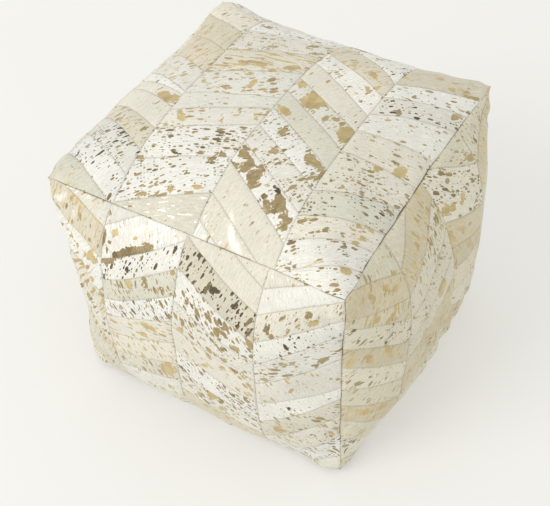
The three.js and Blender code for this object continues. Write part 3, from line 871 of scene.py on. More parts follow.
def relief(column, s, t, to_cut, to_side):
    """Height of the hide's face over the form, how far its lip turns in, and metres to the edge."""
    settings = bpy.context.scene.pouf_hide
    to_seam = np.minimum(to_cut, to_side)
    groove = settings.seam_depth * np.exp(-((to_seam / (1.5 * MM)) ** 2))
    pad = settings.strip_padding * (1 - np.exp(-to_seam / (7 * MM)))
    x, y = s * FLAT_WIDTH, t * column.height
    edge = np.minimum(np.minimum(x, FLAT_WIDTH - x), np.minimum(y, column.height - y))
    edge = np.maximum(edge, 0)
    fade = smooth_rise(edge / (9 * MM))
    turn_in = np.clip(1 - edge / LIP_RADIUS, 0, 1)
    lip = LIP_DEPTH * (1 - np.sqrt(1 - turn_in**2))
    return (pad - groove) * fade, lip, edge


def puckers(points, edge):
    """Small gathers that the edge seams draw into the hide, and how far the seams wander."""
    gather, wander = ripple(points, 58, (0, 0, 0)), ripple(points, 36, (4, 4, 4))
    gathers = GATHER_HEIGHT * gather * np.exp(-edge / (13 * MM)) * smooth_rise(edge / (2 * MM))
    return gathers, SEAM_WANDER * wander * np.exp(-edge / (16 * MM))


def seam_gap(points):
    """How wide the edge seams gape at a point: the pulled ones at the front right, in metres."""
    x, y, z = points.T
    beside = np.exp(-(((z - CORNER_HEIGHT + EDGE_PULL / 2) / 0.03) ** 2))
    along_top = beside * smooth_rise((x - 0.17) / 0.03) * smooth_rise((0.08 - y) / 0.08)
    upright = smooth_rise((x - 0.17) / 0.03) * smooth_rise((-0.17 - y) / 0.03)
    uneven = smooth_rise(0.5 + 1.6 * ripple(points, 45, (9, 2, 5)))
    return (0.75 * MM * along_top + 0.25 * MM * upright) * uneven


def build_column(name, material):
    """One column of slanting strips, seamed, padded and turned in at the panel's edges."""
    column = Column(name)
    bm, strip_layer = column.flat_mesh()
    bm.verts.index_update()
    s, t = flat_coordinates(bm)
    strip_of = np.array([v.link_faces[0][strip_layer] for v in bm.verts])
    to_cut, to_side = np.zeros(len(s)), np.zeros(len(s))
    for strip in range(len(column.cuts) - 1):
        on = strip_of == strip
        to_cut[on], to_side[on] = column.seam_distances(s[on], t[on], strip)
    p, q = 2 * s - 1, 2 * t - 1
    height, lip, edge = relief(column, s, t, to_cut, to_side)
    points = surface(column.panel, p, q)
    gathers, wander = puckers(points, edge)
    gap = seam_gap(points)
    lip = lip + 1.2 * gap * np.exp(-edge / (2 * MM))
    height = height + gathers
    points = sunk(points + outward_way(column.panel, p, q) * height[:, None], lip + wander)

    layers = {key: bm.verts.layers.float.new(key) for key in ("seam", "side", "edge")}
    # The edge attribute is lessened by the seam gap, so that the shader paints shade where the edge seams
    # gape.
    for vertex, *values in zip(bm.verts, to_cut, to_side, edge - gap):
        for layer, value in zip(layers.values(), values):
            vertex[layer] = value
    paint_strips(column, bm, strip_layer, s, t)
    place_verts(bm, points)
    piece = add_object("hide_" + name, bm, material)
    thicken(piece, HIDE_THICKNESS)
    fitted(piece, name)


def paint_strips(column, bm, strip_layer, s, t):
    """Hair direction, look and foil blotches of each strip, kept as maps and attributes."""
    settings = bpy.context.scene.pouf_hide
    hair = bm.loops.layers.uv.new("Hair")
    flat = bm.loops.layers.uv.new("Flat")
    blotch = bm.loops.layers.float.new("blotch")
    tone = bm.loops.layers.float.new("blotch_tone")
    tint = bm.faces.layers.float_color.new("tint")
    amounts = [bm.faces.layers.float.new(key) for key in SHARES]
    chance = random.Random("hair of " + column.name)
    for strip, look in enumerate(column.hides):
        look, _, own_way = look.partition(" @")
        colour, *levels = LOOKS[look]
        shade = chance.uniform(-0.018, 0.018)
        warm = chance.uniform(-0.010, 0.010)
        # Painted shade darkens and warms the hides of the right and left panels.
        rgb = np.array(getattr(settings, colour)) * PAINTED_SIDE_SHADE.get(column.panel, 1)
        rgb = rgb + shade + np.array([warm, 0, -warm])
        angle = column.lean(strip) + math.radians(chance.uniform(-14, 14))
        if column.name not in HAIR_ALONG:
            angle += math.pi / 2
        if own_way:
            angle = math.radians(float(own_way))
        shift = (chance.uniform(0, 40), chance.uniform(0, 40))
        levels = [max(0.0, level + chance.uniform(-0.05, 0.05) * (level > 0.05)) for level in levels]
        depth, bronze = blotch_field(column, strip, s, t)
        for face in bm.faces:
            if face[strip_layer] != strip:
                continue
            face[tint] = (*rgb, 1)
            for layer, level in zip(amounts, levels):
                face[layer] = level
            for loop in face.loops:
                x = s[loop.vert.index] * FLAT_WIDTH
                y = t[loop.vert.index] * column.height
                u = x * math.cos(angle) + y * math.sin(angle)
                v = y * math.cos(angle) - x * math.sin(angle)
                loop[hair].uv = (u + shift[0], v + shift[1])
                loop[flat].uv = (x, y)
                loop[blotch] = depth[loop.vert.index]
                loop[tone] = bronze[loop.vert.index]


# ---- Materials -----------------------------------------------------------------------

def shaded(colour, share):
    """A colour made darker or lighter."""
    return tuple(min(1, channel * share) for channel in colour)


class Finish:
    """A node material being put together."""

    def __init__(self, name, **surface_values):
        self.material = bpy.data.materials.new(name)
        self.material.use_nodes = True
        self.tree = self.material.node_tree
        self.shader = self.tree.nodes["Principled BSDF"]
        for key, value in surface_values.items():
            self.shader.inputs[key.replace("_", " ")].default_value = value

    def node(self, kind, links=None, values=None, **settings):
        """A shader node with its sources, its plain values and its settings."""
        made = self.tree.nodes.new("ShaderNode" + kind)
        for key, value in settings.items():
            setattr(made, key, value)
        for key, value in (values or {}).items():
            made.inputs[key].default_value = value
        for key, source in (links or {}).items():
            self.tree.links.new(source, made.inputs[key])
        return made

    def attribute(self, name, output="Fac"):
        return self.node("Attribute", attribute_name=name).outputs[output]

    def object_place(self):
        return self.node("TexCoord").outputs["Object"]

    def scaled(self, source, scale):
        return self.node("Mapping", {0: source}, {"Scale": scale}).outputs[0]

    def cloud(self, source, scale, detail=2.0, roughness=0.5, distortion=0.0):
        """Noise on coordinates stretched by a scale for each way."""
        values = {"Scale": 1.0, "Detail": detail, "Roughness": roughness, "Distortion": distortion}
        return self.node("TexNoise", {"Vector": self.scaled(source, scale)}, values).outputs["Fac"]

    def calc(self, operation, a, b=None, c=None):
        """A Math node on values or on other nodes' results."""
        made = self.node("Math", operation=operation)
        for index, source in enumerate((a, b, c)):
            if isinstance(source, (int, float)):
                made.inputs[index].default_value = source
            elif source is not None:
                self.tree.links.new(source, made.inputs[index])
        return made.outputs[0]

    def times(self, a, b):
        return self.calc("MULTIPLY", a, b)

    def less(self, a, b):
        return self.calc("SUBTRACT", a, b)

    def slope(self, value, factor, start):
        return self.calc("MULTIPLY_ADD", value, factor, start)

    def most(self, *sources):
        return functools.reduce(lambda a, b: self.calc("MAXIMUM", a, b), sources)

    def step(self, value, low, high, start=0.0, end=1.0):
        """A smooth change from start to end as the value passes from low to high."""
        made = self.node("MapRange", {"Value": value}, interpolation_type="SMOOTHSTEP")
        for key, amount in zip(("From Min", "From Max", "To Min", "To Max"), (low, high, start, end)):
            if isinstance(amount, (int, float)):
                made.inputs[key].default_value = amount
            else:
                self.tree.links.new(amount, made.inputs[key])
        return made.outputs[0]

    def blend(self, share, first, second, mode="MIX"):
        """From one colour to another by a share, or one laid over the other."""
        made = self.node("Mix", data_type="RGBA", blend_type=mode)
        for index, source in ((0, share), (6, first), (7, second)):
            if isinstance(source, (int, float)):
                made.inputs[index].default_value = source
            elif isinstance(source, (tuple, list)) or hasattr(source, "r"):
                made.inputs[index].default_value = (*tuple(source)[:3], 1)
            else:
                self.tree.links.new(source, made.inputs[index])
        return made.outputs[2]

    def flecks(self, source, length, width, density, smallest=0.17):
        """Separate flecks lying along the first way, and a random tone for each."""
        bending = {"Scale": 0.9 / width, "Detail": 1.5}
        bent = self.node("TexNoise", {"Vector": source}, bending).outputs["Color"]
        bent = self.node("VectorMath", {0: bent}, {1: (0.5, 0.5, 0.5)}, operation="SUBTRACT").outputs[0]
        bent = self.node("VectorMath", {0: bent}, {"Scale": width * 0.38}, operation="SCALE").outputs[0]
        place = self.node("VectorMath", {0: source, 1: bent}, operation="ADD").outputs[0]
        cells = self.node(
            "TexVoronoi", {"Vector": self.scaled(place, (1 / length, 1 / width, 1))}, {"Scale": 1.0},
            voronoi_dimensions="2D",
        ).outputs
        chance = self.node("SeparateColor", {0: cells["Color"]}).outputs
        radius = self.slope(chance[1], 0.30, smallest)
        fleck = self.step(self.less(radius, cells["Distance"]), -0.015, 0.035)
        kept = self.step(self.less(density, chance[0]), -0.01, 0.01)
        return self.times(fleck, kept), chance[2]

    def bump(self, height, strength, distance, under=None):
        """Small relief, over another relief if one is given."""
        links = {"Height": height}
        if under is not None:
            links["Normal"] = under
        values = {"Strength": strength, "Distance": distance}
        return self.node("Bump", links, values).outputs[0]

    def finish(self, **links):
        """Joins results to the shader's sockets and gives the material."""
        for key, source in links.items():
            self.tree.links.new(source, self.shader.inputs[key.replace("_", " ")])
        return self.material


def hide_finish():
    """Short clipped hair in patches, with gold and bronze foil flecks, specks and blotches."""
    settings = bpy.context.scene.pouf_hide
    f = Finish("clipped_hide", Roughness=0.6, Specular_IOR_Level=0.35, Sheen_Weight=0.12)
    hair_map = f.node("UVMap", uv_map="Hair").outputs[0]
    flat_map = f.node("UVMap", uv_map="Flat").outputs[0]
    place = f.object_place()
    coarse, fine, bronze, streak, foil = (f.attribute(key) for key in SHARES)

    # The hair itself: fine lines along it, uneven in tone over a strip and over the panel.
    hair = f.cloud(hair_map, (75, 460, 1), 4, 0.65)
    colour = f.blend(f.step(hair, 0.3, 0.7), (0.87, 0.865, 0.845), (1.06, 1.06, 1.06))
    colour = f.blend(1.0, f.attribute("tint", "Color"), colour, "MULTIPLY")
    grain = f.cloud(hair_map, (330, 520, 1), 2, 0.6)
    patches = f.cloud(place, (16, 16, 16), 3, 0.55)
    for unevenness, dark, light in ((grain, 0.93, 1.04), (patches, 0.955, 1.03)):
        tone = f.blend(f.step(unevenness, 0.3, 0.7), (dark,) * 3, (light,) * 3)
        colour = f.blend(1.0, colour, tone, "MULTIPLY")
    tufts = f.cloud(hair_map, (12, 34, 1), 4, 0.6)
    colour = f.blend(f.step(tufts, 0.42, 0.75, 0.0, 0.42), colour, settings.green)

    gold_place = f.step(f.cloud(hair_map, (40, 60, 1)), 0.35, 0.65)
    gold = f.blend(gold_place, settings.gold, settings.pale_gold)
    brown_place = f.step(f.cloud(hair_map, (90, 420, 1), 3), 0.35, 0.7)
    brown = f.blend(brown_place, settings.brown, settings.worn)

    def foil_tone(tone):
        """Gold through brown to nearly black bronze."""
        lighter = f.blend(f.step(tone, 0.08, 0.55), gold, brown)
        return f.blend(f.step(tone, 0.62, 1.0), lighter, settings.bronze)

    # Pale gleams and gold streaks that follow the hair.
    gleam = f.cloud(hair_map, (60, 330, 1), 3, 0.6)
    gleam_share = f.step(f.less(gleam, f.slope(foil, -0.16, 0.72)), -0.02, 0.03, 0, 0.9)
    colour = f.blend(gleam_share, colour, settings.foil)
    streaks = f.cloud(hair_map, (26, 210, 1), 3, 0.62, 0.6)
    streak_share = f.step(f.less(streaks, f.slope(streak, -0.16, 0.70)), -0.03, 0.04)
    streak_share = f.times(streak_share, f.step(streak, 0.02, 0.3))
    colour = f.blend(streak_share, colour, gold)

    # Flecks in three sizes, crowded in some places.
    crowd = f.step(f.cloud(hair_map, (17, 22, 1), 2, 0.5), 0.30, 0.62, 0.25, 1.45)
    sizes = (
        (4.6 * MM, 2.1 * MM, f.times(fine, 0.30)),
        (10 * MM, 3.9 * MM, f.slope(coarse, 0.26, f.times(fine, 0.12))),
        (17 * MM, 6.4 * MM, f.times(coarse, 0.52)),
    )
    flecked = []
    for length, width, density in sizes:
        share, tone = f.flecks(hair_map, length, width, f.times(density, crowd))
        colour = f.blend(share, colour, foil_tone(f.slope(f.less(tone, 0.5), 0.5, bronze)))
        flecked.append(share)

    # Blotches: lobed and ragged, with hair showing through, or soft ones of pale foil.
    field, blotch_tone = f.attribute("blotch"), f.attribute("blotch_tone")
    ragged = f.less(f.cloud(hair_map, (85, 130, 1), 3, 0.55), 0.5)
    blotch = f.slope(ragged, 9 * MM, field)
    lobes, lobe_tone = f.flecks(hair_map, 15 * MM, 9.5 * MM, 2.0, 0.42)
    lobes = f.most(lobes, f.step(blotch, 2.0 * MM, 3.2 * MM))
    worn = f.step(f.cloud(hair_map, (150, 460, 1), 3, 0.6), 0.30, 0.42, 0.5, 1.0)
    metal_blotch = f.times(f.step(blotch, -0.2 * MM, 0.5 * MM), f.times(lobes, worn))
    pale = f.step(blotch_tone, -0.2, -0.6)
    soft_blotch = f.step(f.slope(ragged, 6 * MM, field), -1.5 * MM, 5 * MM, 0, 0.75)
    blotch_share = f.slope(pale, f.less(soft_blotch, metal_blotch), metal_blotch)
    lobe_shade = f.slope(f.less(lobe_tone, 0.5), 0.2, blotch_tone)
    colour = f.blend(blotch_share, colour, f.blend(pale, foil_tone(lobe_shade), settings.foil))

    # Seams: a dark line and stitches beside it, then painted shade, patchy along the panel's turned edge
    # and dark where the edge seams gape.
    side, edge = f.attribute("side"), f.attribute("edge")
    seam = f.calc("MINIMUM", f.attribute("seam"), side)
    split = f.node("SeparateXYZ", {0: flat_map}).outputs
    run = f.calc("ADD", split[0], f.times(split[1], 0.6))
    beat = f.calc("SINE", f.times(run, 2 * math.pi / (3.4 * MM)))
    beside = f.times(f.step(seam, 0.5 * MM, 0.9 * MM), f.step(seam, 1.8 * MM, 1.3 * MM))
    ticks = f.times(beside, f.step(beat, 0.2, 0.8, 0, 0.30))
    line = f.step(seam, 0.1 * MM, 0.8 * MM, f.step(side, 0.5 * MM, 1.5 * MM, 0.12, 0.46), 0.0)
    patchy = f.step(f.cloud(place, (14, 14, 14), 2), 0.46, 0.70, 0.0, 0.65)
    turned = f.step(edge, 0.2 * MM, 1.1 * MM, patchy, 0.0)
    # Painted shade in the gaps of the edge seams.
    painted_gap_shade = f.step(edge, -0.4 * MM, 0.1 * MM, 0.85, 0.0)
    colour = f.blend(f.most(line, ticks, turned, painted_gap_shade), colour, settings.seam)

    metal_share = f.most(*flecked, blotch_share, streak_share)
    metallic = f.most(f.times(metal_share, 0.35), f.times(gleam_share, 0.5))
    fur = f.bump(hair, 0.35, 0.5 * MM)
    fur = f.bump(f.most(metal_share, gleam_share), 0.3, 0.25 * MM, fur)
    fur = f.bump(f.cloud(hair_map, (240, 240, 1), 3, 0.6), 0.25, 0.3 * MM, fur)
    return f.finish(
        Base_Color=colour, Metallic=metallic, Roughness=f.slope(metallic, -0.45, 0.62), Normal=fur,
    )


def woven_finish(name, colour, thread, depth=0.3 * MM, contrast=0.25):
    """Plain woven cloth on object coordinates: crossing threads with a little slub."""
    f = Finish(name, Roughness=0.9, Specular_IOR_Level=0.25, Sheen_Weight=0.15)
    place = f.object_place()
    split = f.node("SeparateXYZ", {0: place}).outputs
    turn = 2 * math.pi / thread
    warp = f.calc("SINE", f.times(f.calc("ADD", split[0], split[2]), turn))
    weft = f.calc("SINE", f.times(f.less(split[1], split[2]), turn))
    weave = f.step(f.times(warp, weft), -0.8, 0.8)
    slub = f.cloud(place, (90, 90, 90), 3, 0.6)
    shade = f.slope(weave, contrast, f.times(slub, 0.35))
    mixed = f.blend(f.step(shade, 0.05, 0.6), shaded(colour, 0.62), colour)
    return f.finish(Base_Color=mixed, Normal=f.bump(weave, 0.5, depth))


def metal_finish(name, colour):
    """Antiqued brass: darker where it has tarnished, with fine scratches."""
    f = Finish(name, Metallic=1.0, Roughness=0.35)
    place = f.object_place()
    tarnish = f.cloud(place, (260, 260, 260), 4, 0.6)
    scratches = f.cloud(place, (2400, 300, 2400), 2, 0.5)
    mixed = f.blend(f.step(tarnish, 0.4, 0.68), colour, shaded(colour, 0.45))
    rough = f.step(tarnish, 0.3, 0.7, 0.26, 0.52)
    return f.finish(Base_Color=mixed, Roughness=rough, Normal=f.bump(scratches, 0.15, 0.05 * MM))


def nylon_finish(name, colour):
    """Moulded nylon with a faint grain."""
    f = Finish(name, Roughness=0.42, Specular_IOR_Level=0.5)
    grain = f.cloud(f.object_place(), (900, 900, 900), 2, 0.5)
    mixed = f.blend(f.step(grain, 0.35, 0.65), colour, shaded(colour, 0.8))
    return f.finish(Base_Color=mixed, Roughness=f.step(grain, 0.3, 0.7, 0.36, 0.5))


def bead_finish():
    """Expanded beads pressed against each other, three to four millimetres across, with painted shade in
    the gaps between them.
    """
    f = Finish("expanded_beads", Roughness=0.55, Specular_IOR_Level=0.4)
    cells = f.node("TexVoronoi", {"Vector": f.object_place()}, {"Scale": 270.0}).outputs["Distance"]
    # Painted shade: the colour darkens towards the gaps between beads.
    shade = f.blend(f.step(cells, 0.3, 0.75), (0.93, 0.93, 0.91), (0.66, 0.66, 0.64))
    return f.finish(Base_Color=shade, Normal=f.bump(f.step(cells, 0.8, 0.1), 0.8, 1.4 * MM))


# ---- Settings ------------------------------------------------------------------------

def colour_setting(name, description, default):
    """A colour that the user may change."""
    return bpy.props.FloatVectorProperty(
        name=name, description=description, default=default, size=3, min=0, max=1, subtype="COLOR",
    )


def number_setting(name, description, default, **kind):
    """A number that the user may change."""
    return bpy.props.FloatProperty(name=name, description=description, default=default, **kind)


class PoufForm(bpy.types.PropertyGroup):
    """How the cover is stuffed."""

    pressure: number_setting("Filling pressure", "How hard the filling pushes the cover out", 4.0)
    slack: number_setting(
        "Slack", "How much larger the cover is cut than its form", 0.012, subtype="FACTOR",
    )
    cap: number_setting(
        "Largest move", "How far the filling may move the cover", 0.012, unit="LENGTH",
    )
    start_depth: number_setting(
        "Starting depth", "How far inside its form the cover starts", 0.004, unit="LENGTH",
    )
    steps: bpy.props.IntProperty(
        name="Steps", description="Frames over which the cover fills out", default=20,
    )


class PoufHide(bpy.types.PropertyGroup):
    """The patchwork's relief and colours."""

    seam_depth: number_setting(
        "Seam depth", "How deep the seams between strips are", 0.0009, unit="LENGTH",
    )
    strip_padding: number_setting(
        "Strip padding", "How far a strip's middle stands over its seams", 0.0006, unit="LENGTH",
    )
    white: colour_setting("White hair", "The whitest hides", (0.805, 0.792, 0.745))
    cream: colour_setting("Cream hair", "Cream hides", (0.740, 0.706, 0.612))
    grey: colour_setting("Grey hair", "Pale grey hides", (0.730, 0.715, 0.650))
    green: colour_setting("Green-grey hair", "Grey hides with a green cast", (0.665, 0.645, 0.545))
    tan: colour_setting("Tan hair", "Tan hides", (0.660, 0.607, 0.485))
    gold: colour_setting("Gold foil", "Flecks and blotches", (0.500, 0.385, 0.185))
    pale_gold: colour_setting("Pale gold foil", "Lighter flecks", (0.620, 0.490, 0.250))
    worn: colour_setting("Worn brown foil", "Brown foil with hair showing through", (0.390, 0.300, 0.160))
    brown: colour_setting("Brown foil", "Darker flecks", (0.300, 0.226, 0.104))
    bronze: colour_setting("Bronze foil", "The darkest flecks", (0.088, 0.064, 0.034))
    foil: colour_setting("Pale foil", "Bright foil streaks", (0.95, 0.93, 0.86))
    seam: colour_setting("Seams", "Thread and shade in the seams", (0.215, 0.176, 0.120))


class PoufStage(bpy.types.PropertyGroup):
    """The plain studio around the pouf."""

    floor: colour_setting("Floor", "The floor and backdrop", (0.535, 0.530, 0.518))
    sky: number_setting("Room light", "Strength of the pale room", 0.91)
    key: number_setting("Main light", "Strength of the soft light from the left", 126.0, unit="POWER")


# ---- Operators -------------------------------------------------------------------------

def panel_sheet(panel, depth, reach, steps):
    """An even sheet over a panel at a depth, out to a share of its half width."""
    bm = bmesh.new()
    bmesh.ops.create_grid(bm, x_segments=steps, y_segments=steps, size=reach)
    p, q = flat_coordinates(bm)
    place_verts(bm, sunk(surface(panel, p, q), depth))
    return bm


class POUF_OT_hides(bpy.types.Operator):
    """Sew the twenty columns of hide strips"""

    bl_idname = "pouf.hides"
    bl_label = "Hide columns"

    def execute(self, context):
        material = hide_finish()
        for panel in PANELS:
            for number in range(1, 5):
                build_column(f"{panel}_column_{number}", material)
        return {"FINISHED"}


class POUF_OT_backing(bpy.types.Operator):
    """Line each patchwork panel with cotton"""

    bl_idname = "pouf.backing"
    bl_label = "Backing cloths"

    def execute(self, context):
        material = woven_finish("backing_cotton", (0.69, 0.62, 0.51), 1.1 * MM)
        for panel in PANELS:
            bm = panel_sheet(panel, BACKING_DEPTH, BACKING_REACH, 30)
            piece = add_object(f"{panel}_lining", bm, material)
            thicken(piece, BACKING_THICKNESS)
            fitted(piece, f"{panel}_backing")
        return {"FINISHED"}


def closed_form(depth, steps=26):
    """The whole stuffed form as one closed mesh at a depth."""
    bm, cube = cube_mesh(steps)
    points = np.zeros_like(cube)
    for panel in PANELS + ("base",):
        on, p, q = cube_panel(cube, panel)
        points[on] = sunk(surface(panel, p[on], q[on]), depth)
    place_verts(bm, points)
    return bm


class POUF_OT_filling(bpy.types.Operator):
    """Fill the inner cotton bag with beads and close its mouth"""

    bl_idname = "pouf.filling"
    bl_label = "Inner bag and filling"

    def execute(self, context):
        cotton = woven_finish("bag_cotton", (0.86, 0.84, 0.79), 0.9 * MM, 0.2 * MM, 0.18)
        bag = add_object("cotton_bag", closed_form(BAG_DEPTH), cotton)
        thicken(bag, BAG_THICKNESS)
        fitted(bag, "inner_bag")
        filling = add_object("beads", closed_form(FILLING_DEPTH), bead_finish())
        fitted(filling, "bead_filling")
        rounded_copy("inner_bag_closure", "bag_closure", cotton, "root", 0.2 * MM)
        return {"FINISHED"}


def base_sheet(across, up):
    """Part of the base cloth between two places each way, outer face down."""
    bm = bmesh.new()
    columns = max(4, round((across[1] - across[0]) * 48))
    rows = max(4, round((up[1] - up[0]) * 60))
    bmesh.ops.create_grid(bm, x_segments=columns, y_segments=rows, size=0.5)
    x, y = flat_coordinates(bm)
    p = mix(across[0], across[1], x + 0.5)
    q = mix(up[0], up[1], y + 0.5)
    points = base_form(p, q)
    place_verts(bm, sunk(points, corner_rounding(points)))
    bmesh.ops.reverse_faces(bm, faces=bm.faces[:])
    return bm


def repeat(bm, step, count):
    """Copies everything in a bmesh, one step further each time."""
    first = bm.verts[:] + bm.edges[:] + bm.faces[:]
    for number in range(1, count):
        copy = bmesh.ops.duplicate(bm, geom=first)["geom"]
        moved = [item for item in copy if isinstance(item, bmesh.types.BMVert)]
        bmesh.ops.translate(bm, vec=Vector(step) * number, verts=moved)


def round_edges(bm, edges, rounding, segments):
    """Takes the edges off by a bevel."""
    bmesh.ops.bevel(
        bm, geom=edges, offset=rounding, offset_type="OFFSET", affect="EDGES", segments=segments,
        profile=0.5, material=-1, clamp_overlap=True,
    )


def rounded_block(bm, size, place, rounding):
    """A small block with every edge taken off."""
    block = bmesh.ops.create_cube(bm, size=1)["verts"]
    bmesh.ops.scale(bm, vec=size, verts=block)
    round_edges(bm, bm.edges[:], rounding, 1)
    bmesh.ops.translate(bm, vec=place, verts=bm.verts[:])


def hem_stitches(name, y, material):
    """A row of thread stitches along the hem beside the zip."""
    bm = bmesh.new()
    place = Vector((-HEM_LENGTH / 2, y, float(base_form(0.0, y / (BASE_WIDTH / 2))[2]) - 0.05 * MM))
    rounded_block(bm, Vector((2.7 * MM, 0.7 * MM, 0.5 * MM)), place, 0.16 * MM)
    repeat(bm, (STITCH_SPACING, 0, 0), int(HEM_LENGTH / STITCH_SPACING))
    add_object(name, bm, material, smooth=False)


class POUF_OT_base(bpy.types.Operator):
    """Cut the canvas base in two halves with hemmed, stitched edges beside the zip"""

    bl_idname = "pouf.base"
    bl_label = "Base cloth"

    def execute(self, context):
        canvas = woven_finish("base_canvas", (0.47, 0.39, 0.27), 1.6 * MM, 0.5 * MM)
        thread = woven_finish("hem_thread", (0.62, 0.54, 0.40), 0.6 * MM, 0.1 * MM)
        half = BASE_WIDTH / 2
        rim, gap = 1 - 2.0 * MM / half, 0.3 * MM / half
        hem = (ZIP_HALF_GAP + 0.3 * MM) / (half - EDGE_PULL)
        zip_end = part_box("base_end_right")[0].x / half
        outlines = {
            "base_front_half": ((-rim, rim), (-rim, -hem), "zip_tape_front"),
            "base_back_half": ((-rim, rim), (hem, rim), "zip_tape_back"),
            "base_end_left": ((-rim, -zip_end), (gap - hem, hem - gap), "zip_tape_front"),
            "base_end_right": ((zip_end, rim), (gap - hem, hem - gap), "zip_tape_front"),
        }
        for node, (across, up, tape) in outlines.items():
            piece = add_object(node.replace("base", "canvas"), base_sheet(across, up), canvas)
            thicken(piece, CANVAS_THICKNESS)
            fitted(piece, node)
        for side, way in (("front", -1), ("back", 1)):
            hem_stitches(f"hem_{side}_inner", way * (ZIP_HALF_GAP + 3 * MM), thread)
            hem_stitches(f"hem_{side}_outer", way * (ZIP_HALF_GAP + 7 * MM), thread)
        return {"FINISHED"}


def rounded_copy(node, name, material, body, rounding):
    """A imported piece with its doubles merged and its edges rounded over."""
    bm = bmesh.new()
    bm.from_mesh(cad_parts[node].data)
    bmesh.ops.remove_doubles(bm, verts=bm.verts[:], dist=1e-6)
    bmesh.ops.dissolve_limit(bm, angle_limit=math.radians(2), verts=bm.verts[:], edges=bm.edges[:])
    sharp = [e for e in bm.edges if len(e.link_faces) == 2 and e.calc_face_angle() > math.radians(40)]
    round_edges(bm, sharp, rounding, 2)
    fitted(add_object(name, bm, material, body, smooth=False), node)


def zip_tape(side, material):
    """One tape: a narrow woven band with two raised cords and a slight wave along it."""
    low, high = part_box(f"zip_tape_{side}")
    bm = bmesh.new()
    bmesh.ops.create_grid(bm, x_segments=112, y_segments=14, size=0.5)
    for vertex in bm.verts:
        x, y = mix(low.x, high.x, vertex.co.x + 0.5), mix(low.y, high.y, vertex.co.y + 0.5)
        inward = abs(y) - min(abs(low.y), abs(high.y))
        cords = sum(math.exp(-(((inward - place) / (0.7 * MM)) ** 2)) for place in (1.5 * MM, 4 * MM))
        wave = 0.12 * MM * math.sin(x * 310 + y * 90)
        vertex.co = (x, y, low.z + 0.12 * MM - 0.2 * MM * cords + wave * 0.5)
    bmesh.ops.reverse_faces(bm, faces=bm.faces[:])
    piece = add_object(f"tape_{side}", bm, material)
    thicken(piece, TAPE_THICKNESS)
    fitted(piece, f"zip_tape_{side}")


def coil_teeth(node, name, material):
    """A coil as a row of rounded teeth the length of its packed bar."""
    low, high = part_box(node)
    bm = bmesh.new()
    size = Vector((TOOTH_PITCH * 0.62, high.y - low.y, high.z - low.z))
    start = Vector((low.x + TOOTH_PITCH / 2, (low.y + high.y) / 2, (low.z + high.z) / 2))
    rounded_block(bm, size, start, 0.32 * MM)
    repeat(bm, (TOOTH_PITCH, 0, 0), int((high.x - low.x) / TOOTH_PITCH))
    fitted(add_object(name, bm, material, smooth=False), node)


class POUF_OT_zip(bpy.types.Operator):
    """Fit the base zip: tapes, coils, stops, slider and pull"""

    bl_idname = "pouf.zip"
    bl_label = "Zip"

    def execute(self, context):
        tape = woven_finish("zip_tape_weave", (0.39, 0.32, 0.22), 0.8 * MM, 0.15 * MM)
        nylon = nylon_finish("zip_nylon", (0.26, 0.20, 0.11))
        brass = metal_finish("zip_brass", (0.62, 0.45, 0.18))
        for side in ("front", "back"):
            zip_tape(side, tape)
            coil_teeth(f"zip_coil_{side}", f"coil_{side}", nylon)
        for end in ("left", "right"):
            rounded_copy(f"zip_stop_{end}", f"stop_{end}", brass, "root", 0.4 * MM)
        rounded_copy("zip_slider", "slider_body", brass, "slider", 0.2 * MM)
        rounded_copy("zip_pull", "slider_pull", brass, "pull", 0.25 * MM)
        return {"FINISHED"}


# The camera: where it stands, and which way it looks.
CAMERA_PLACE = (0.5890, -0.9709, 1.4279)
CAMERA_AZIMUTH = math.radians(31.715)
CAMERA_ELEVATION = math.radians(48.249)
CAMERA_ROLL = math.radians(-2.707)
CAMERA_LENS = 73.56


def camera_matrix():
    """The camera's place and turn."""
    azimuth, elevation = CAMERA_AZIMUTH, CAMERA_ELEVATION
    flat = math.cos(elevation)
    ahead = Vector((-math.sin(azimuth) * flat, math.cos(azimuth) * flat, -math.sin(elevation)))
    level = Vector((math.cos(azimuth), math.sin(azimuth), 0))
    right = level * math.cos(CAMERA_ROLL) + level.cross(ahead) * math.sin(CAMERA_ROLL)
    up = right.cross(ahead)
    turn = Matrix((right, up, -ahead)).transposed().to_4x4()
    return Matrix.Translation(CAMERA_PLACE) @ turn


def add_light(name, place, aim, size, power, colour):
    """A square soft light aimed at a point."""
    data = bpy.data.lights.new(name, "AREA")
    data.size = size
    data.energy = power
    data.color = colour
    lamp = bpy.data.objects.new(name, data)
    bpy.context.scene.collection.objects.link(lamp)
    lamp.location = place
    lamp.rotation_mode = "QUATERNION"
    lamp.rotation_quaternion = (Vector(aim) - Vector(place)).to_track_quat("-Z", "Y")


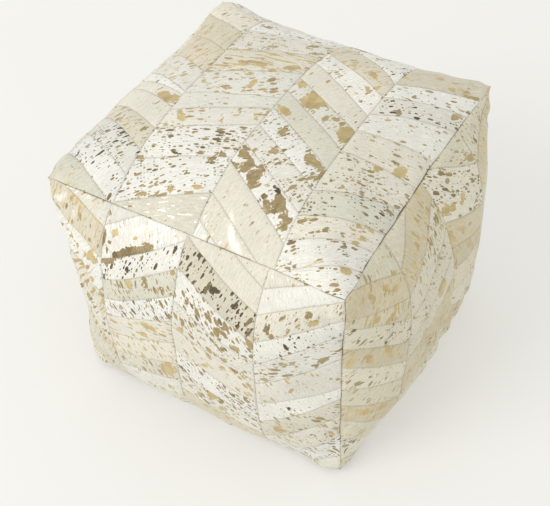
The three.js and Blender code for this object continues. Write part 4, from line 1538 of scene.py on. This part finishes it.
class POUF_OT_stage(bpy.types.Operator):
    """Set the camera, the soft lights and a plain pale floor"""

    bl_idname = "pouf.stage"
    bl_label = "Stage"

    def execute(self, context):
        scene = context.scene
        settings = scene.pouf_stage
        camera = bpy.data.objects.new("camera", bpy.data.cameras.new("camera"))
        scene.collection.objects.link(camera)
        camera.data.lens = CAMERA_LENS
        camera.data.sensor_width = 36
        camera.data.clip_start = 0.05
        camera.data.clip_end = 60
        camera.matrix_world = camera_matrix()
        scene.camera = camera

        f = Finish("pale_floor", Roughness=0.9, Specular_IOR_Level=0.1, Emission_Strength=0.33)
        f.shader.inputs["Emission Color"].default_value = (1.0, 1.0, 0.97, 1)
        shade = f.step(f.cloud(f.object_place(), (3, 3, 3), 2), 0.3, 0.7)
        material = f.finish(Base_Color=f.blend(shade, settings.floor, shaded(settings.floor, 1.01)))
        bm = bmesh.new()
        bmesh.ops.create_grid(bm, x_segments=1, y_segments=1, size=12)
        new_object("floor", bm, material)

        add_light("key", (-2.4, -4.2, 3.9), (0, 0, 0.2), 3.2, settings.key, (1.0, 0.985, 0.955))
        world = bpy.data.worlds.new("pale_room")
        world.use_nodes = True
        world.node_tree.nodes["Background"].inputs["Color"].default_value = (1.0, 1.0, 0.975, 1)
        world.node_tree.nodes["Background"].inputs["Strength"].default_value = settings.sky
        scene.world = world
        scene.view_settings.view_transform = "Standard"
        scene.view_settings.look = "None"
        return {"FINISHED"}


class POUF_PT_panel(bpy.types.Panel):
    """Sizes and steps of the pouf."""

    bl_label = "Pouf"
    bl_idname = "POUF_PT_panel"
    bl_space_type = "VIEW_3D"
    bl_region_type = "UI"
    bl_category = "Pouf"

    def draw(self, context):
        layout = self.layout
        for group in ("pouf_form", "pouf_hide", "pouf_stage"):
            settings = getattr(context.scene, group)
            box = layout.box()
            for key in settings.__annotations__:
                box.prop(settings, key)
        for operator in OPERATORS:
            layout.operator(operator.bl_idname)


GROUPS = {"pouf_form": PoufForm, "pouf_hide": PoufHide, "pouf_stage": PoufStage}
OPERATORS = (POUF_OT_stage, POUF_OT_hides, POUF_OT_backing, POUF_OT_filling, POUF_OT_base, POUF_OT_zip)


def register():
    for made in (*GROUPS.values(), *OPERATORS, POUF_PT_panel):
        bpy.utils.register_class(made)
    for key, group in GROUPS.items():
        setattr(bpy.types.Scene, key, bpy.props.PointerProperty(type=group))


def unregister():
    for key in GROUPS:
        delattr(bpy.types.Scene, key)
    for made in reversed((*GROUPS.values(), *OPERATORS, POUF_PT_panel)):
        bpy.utils.unregister_class(made)


def main():
    register()
    bpy.ops.pouf.stage()
    bpy.ops.pouf.hides()
    bpy.ops.pouf.backing()
    bpy.ops.pouf.filling()
    bpy.ops.pouf.base()
    bpy.ops.pouf.zip()


if __name__ == "__main__":
    main()
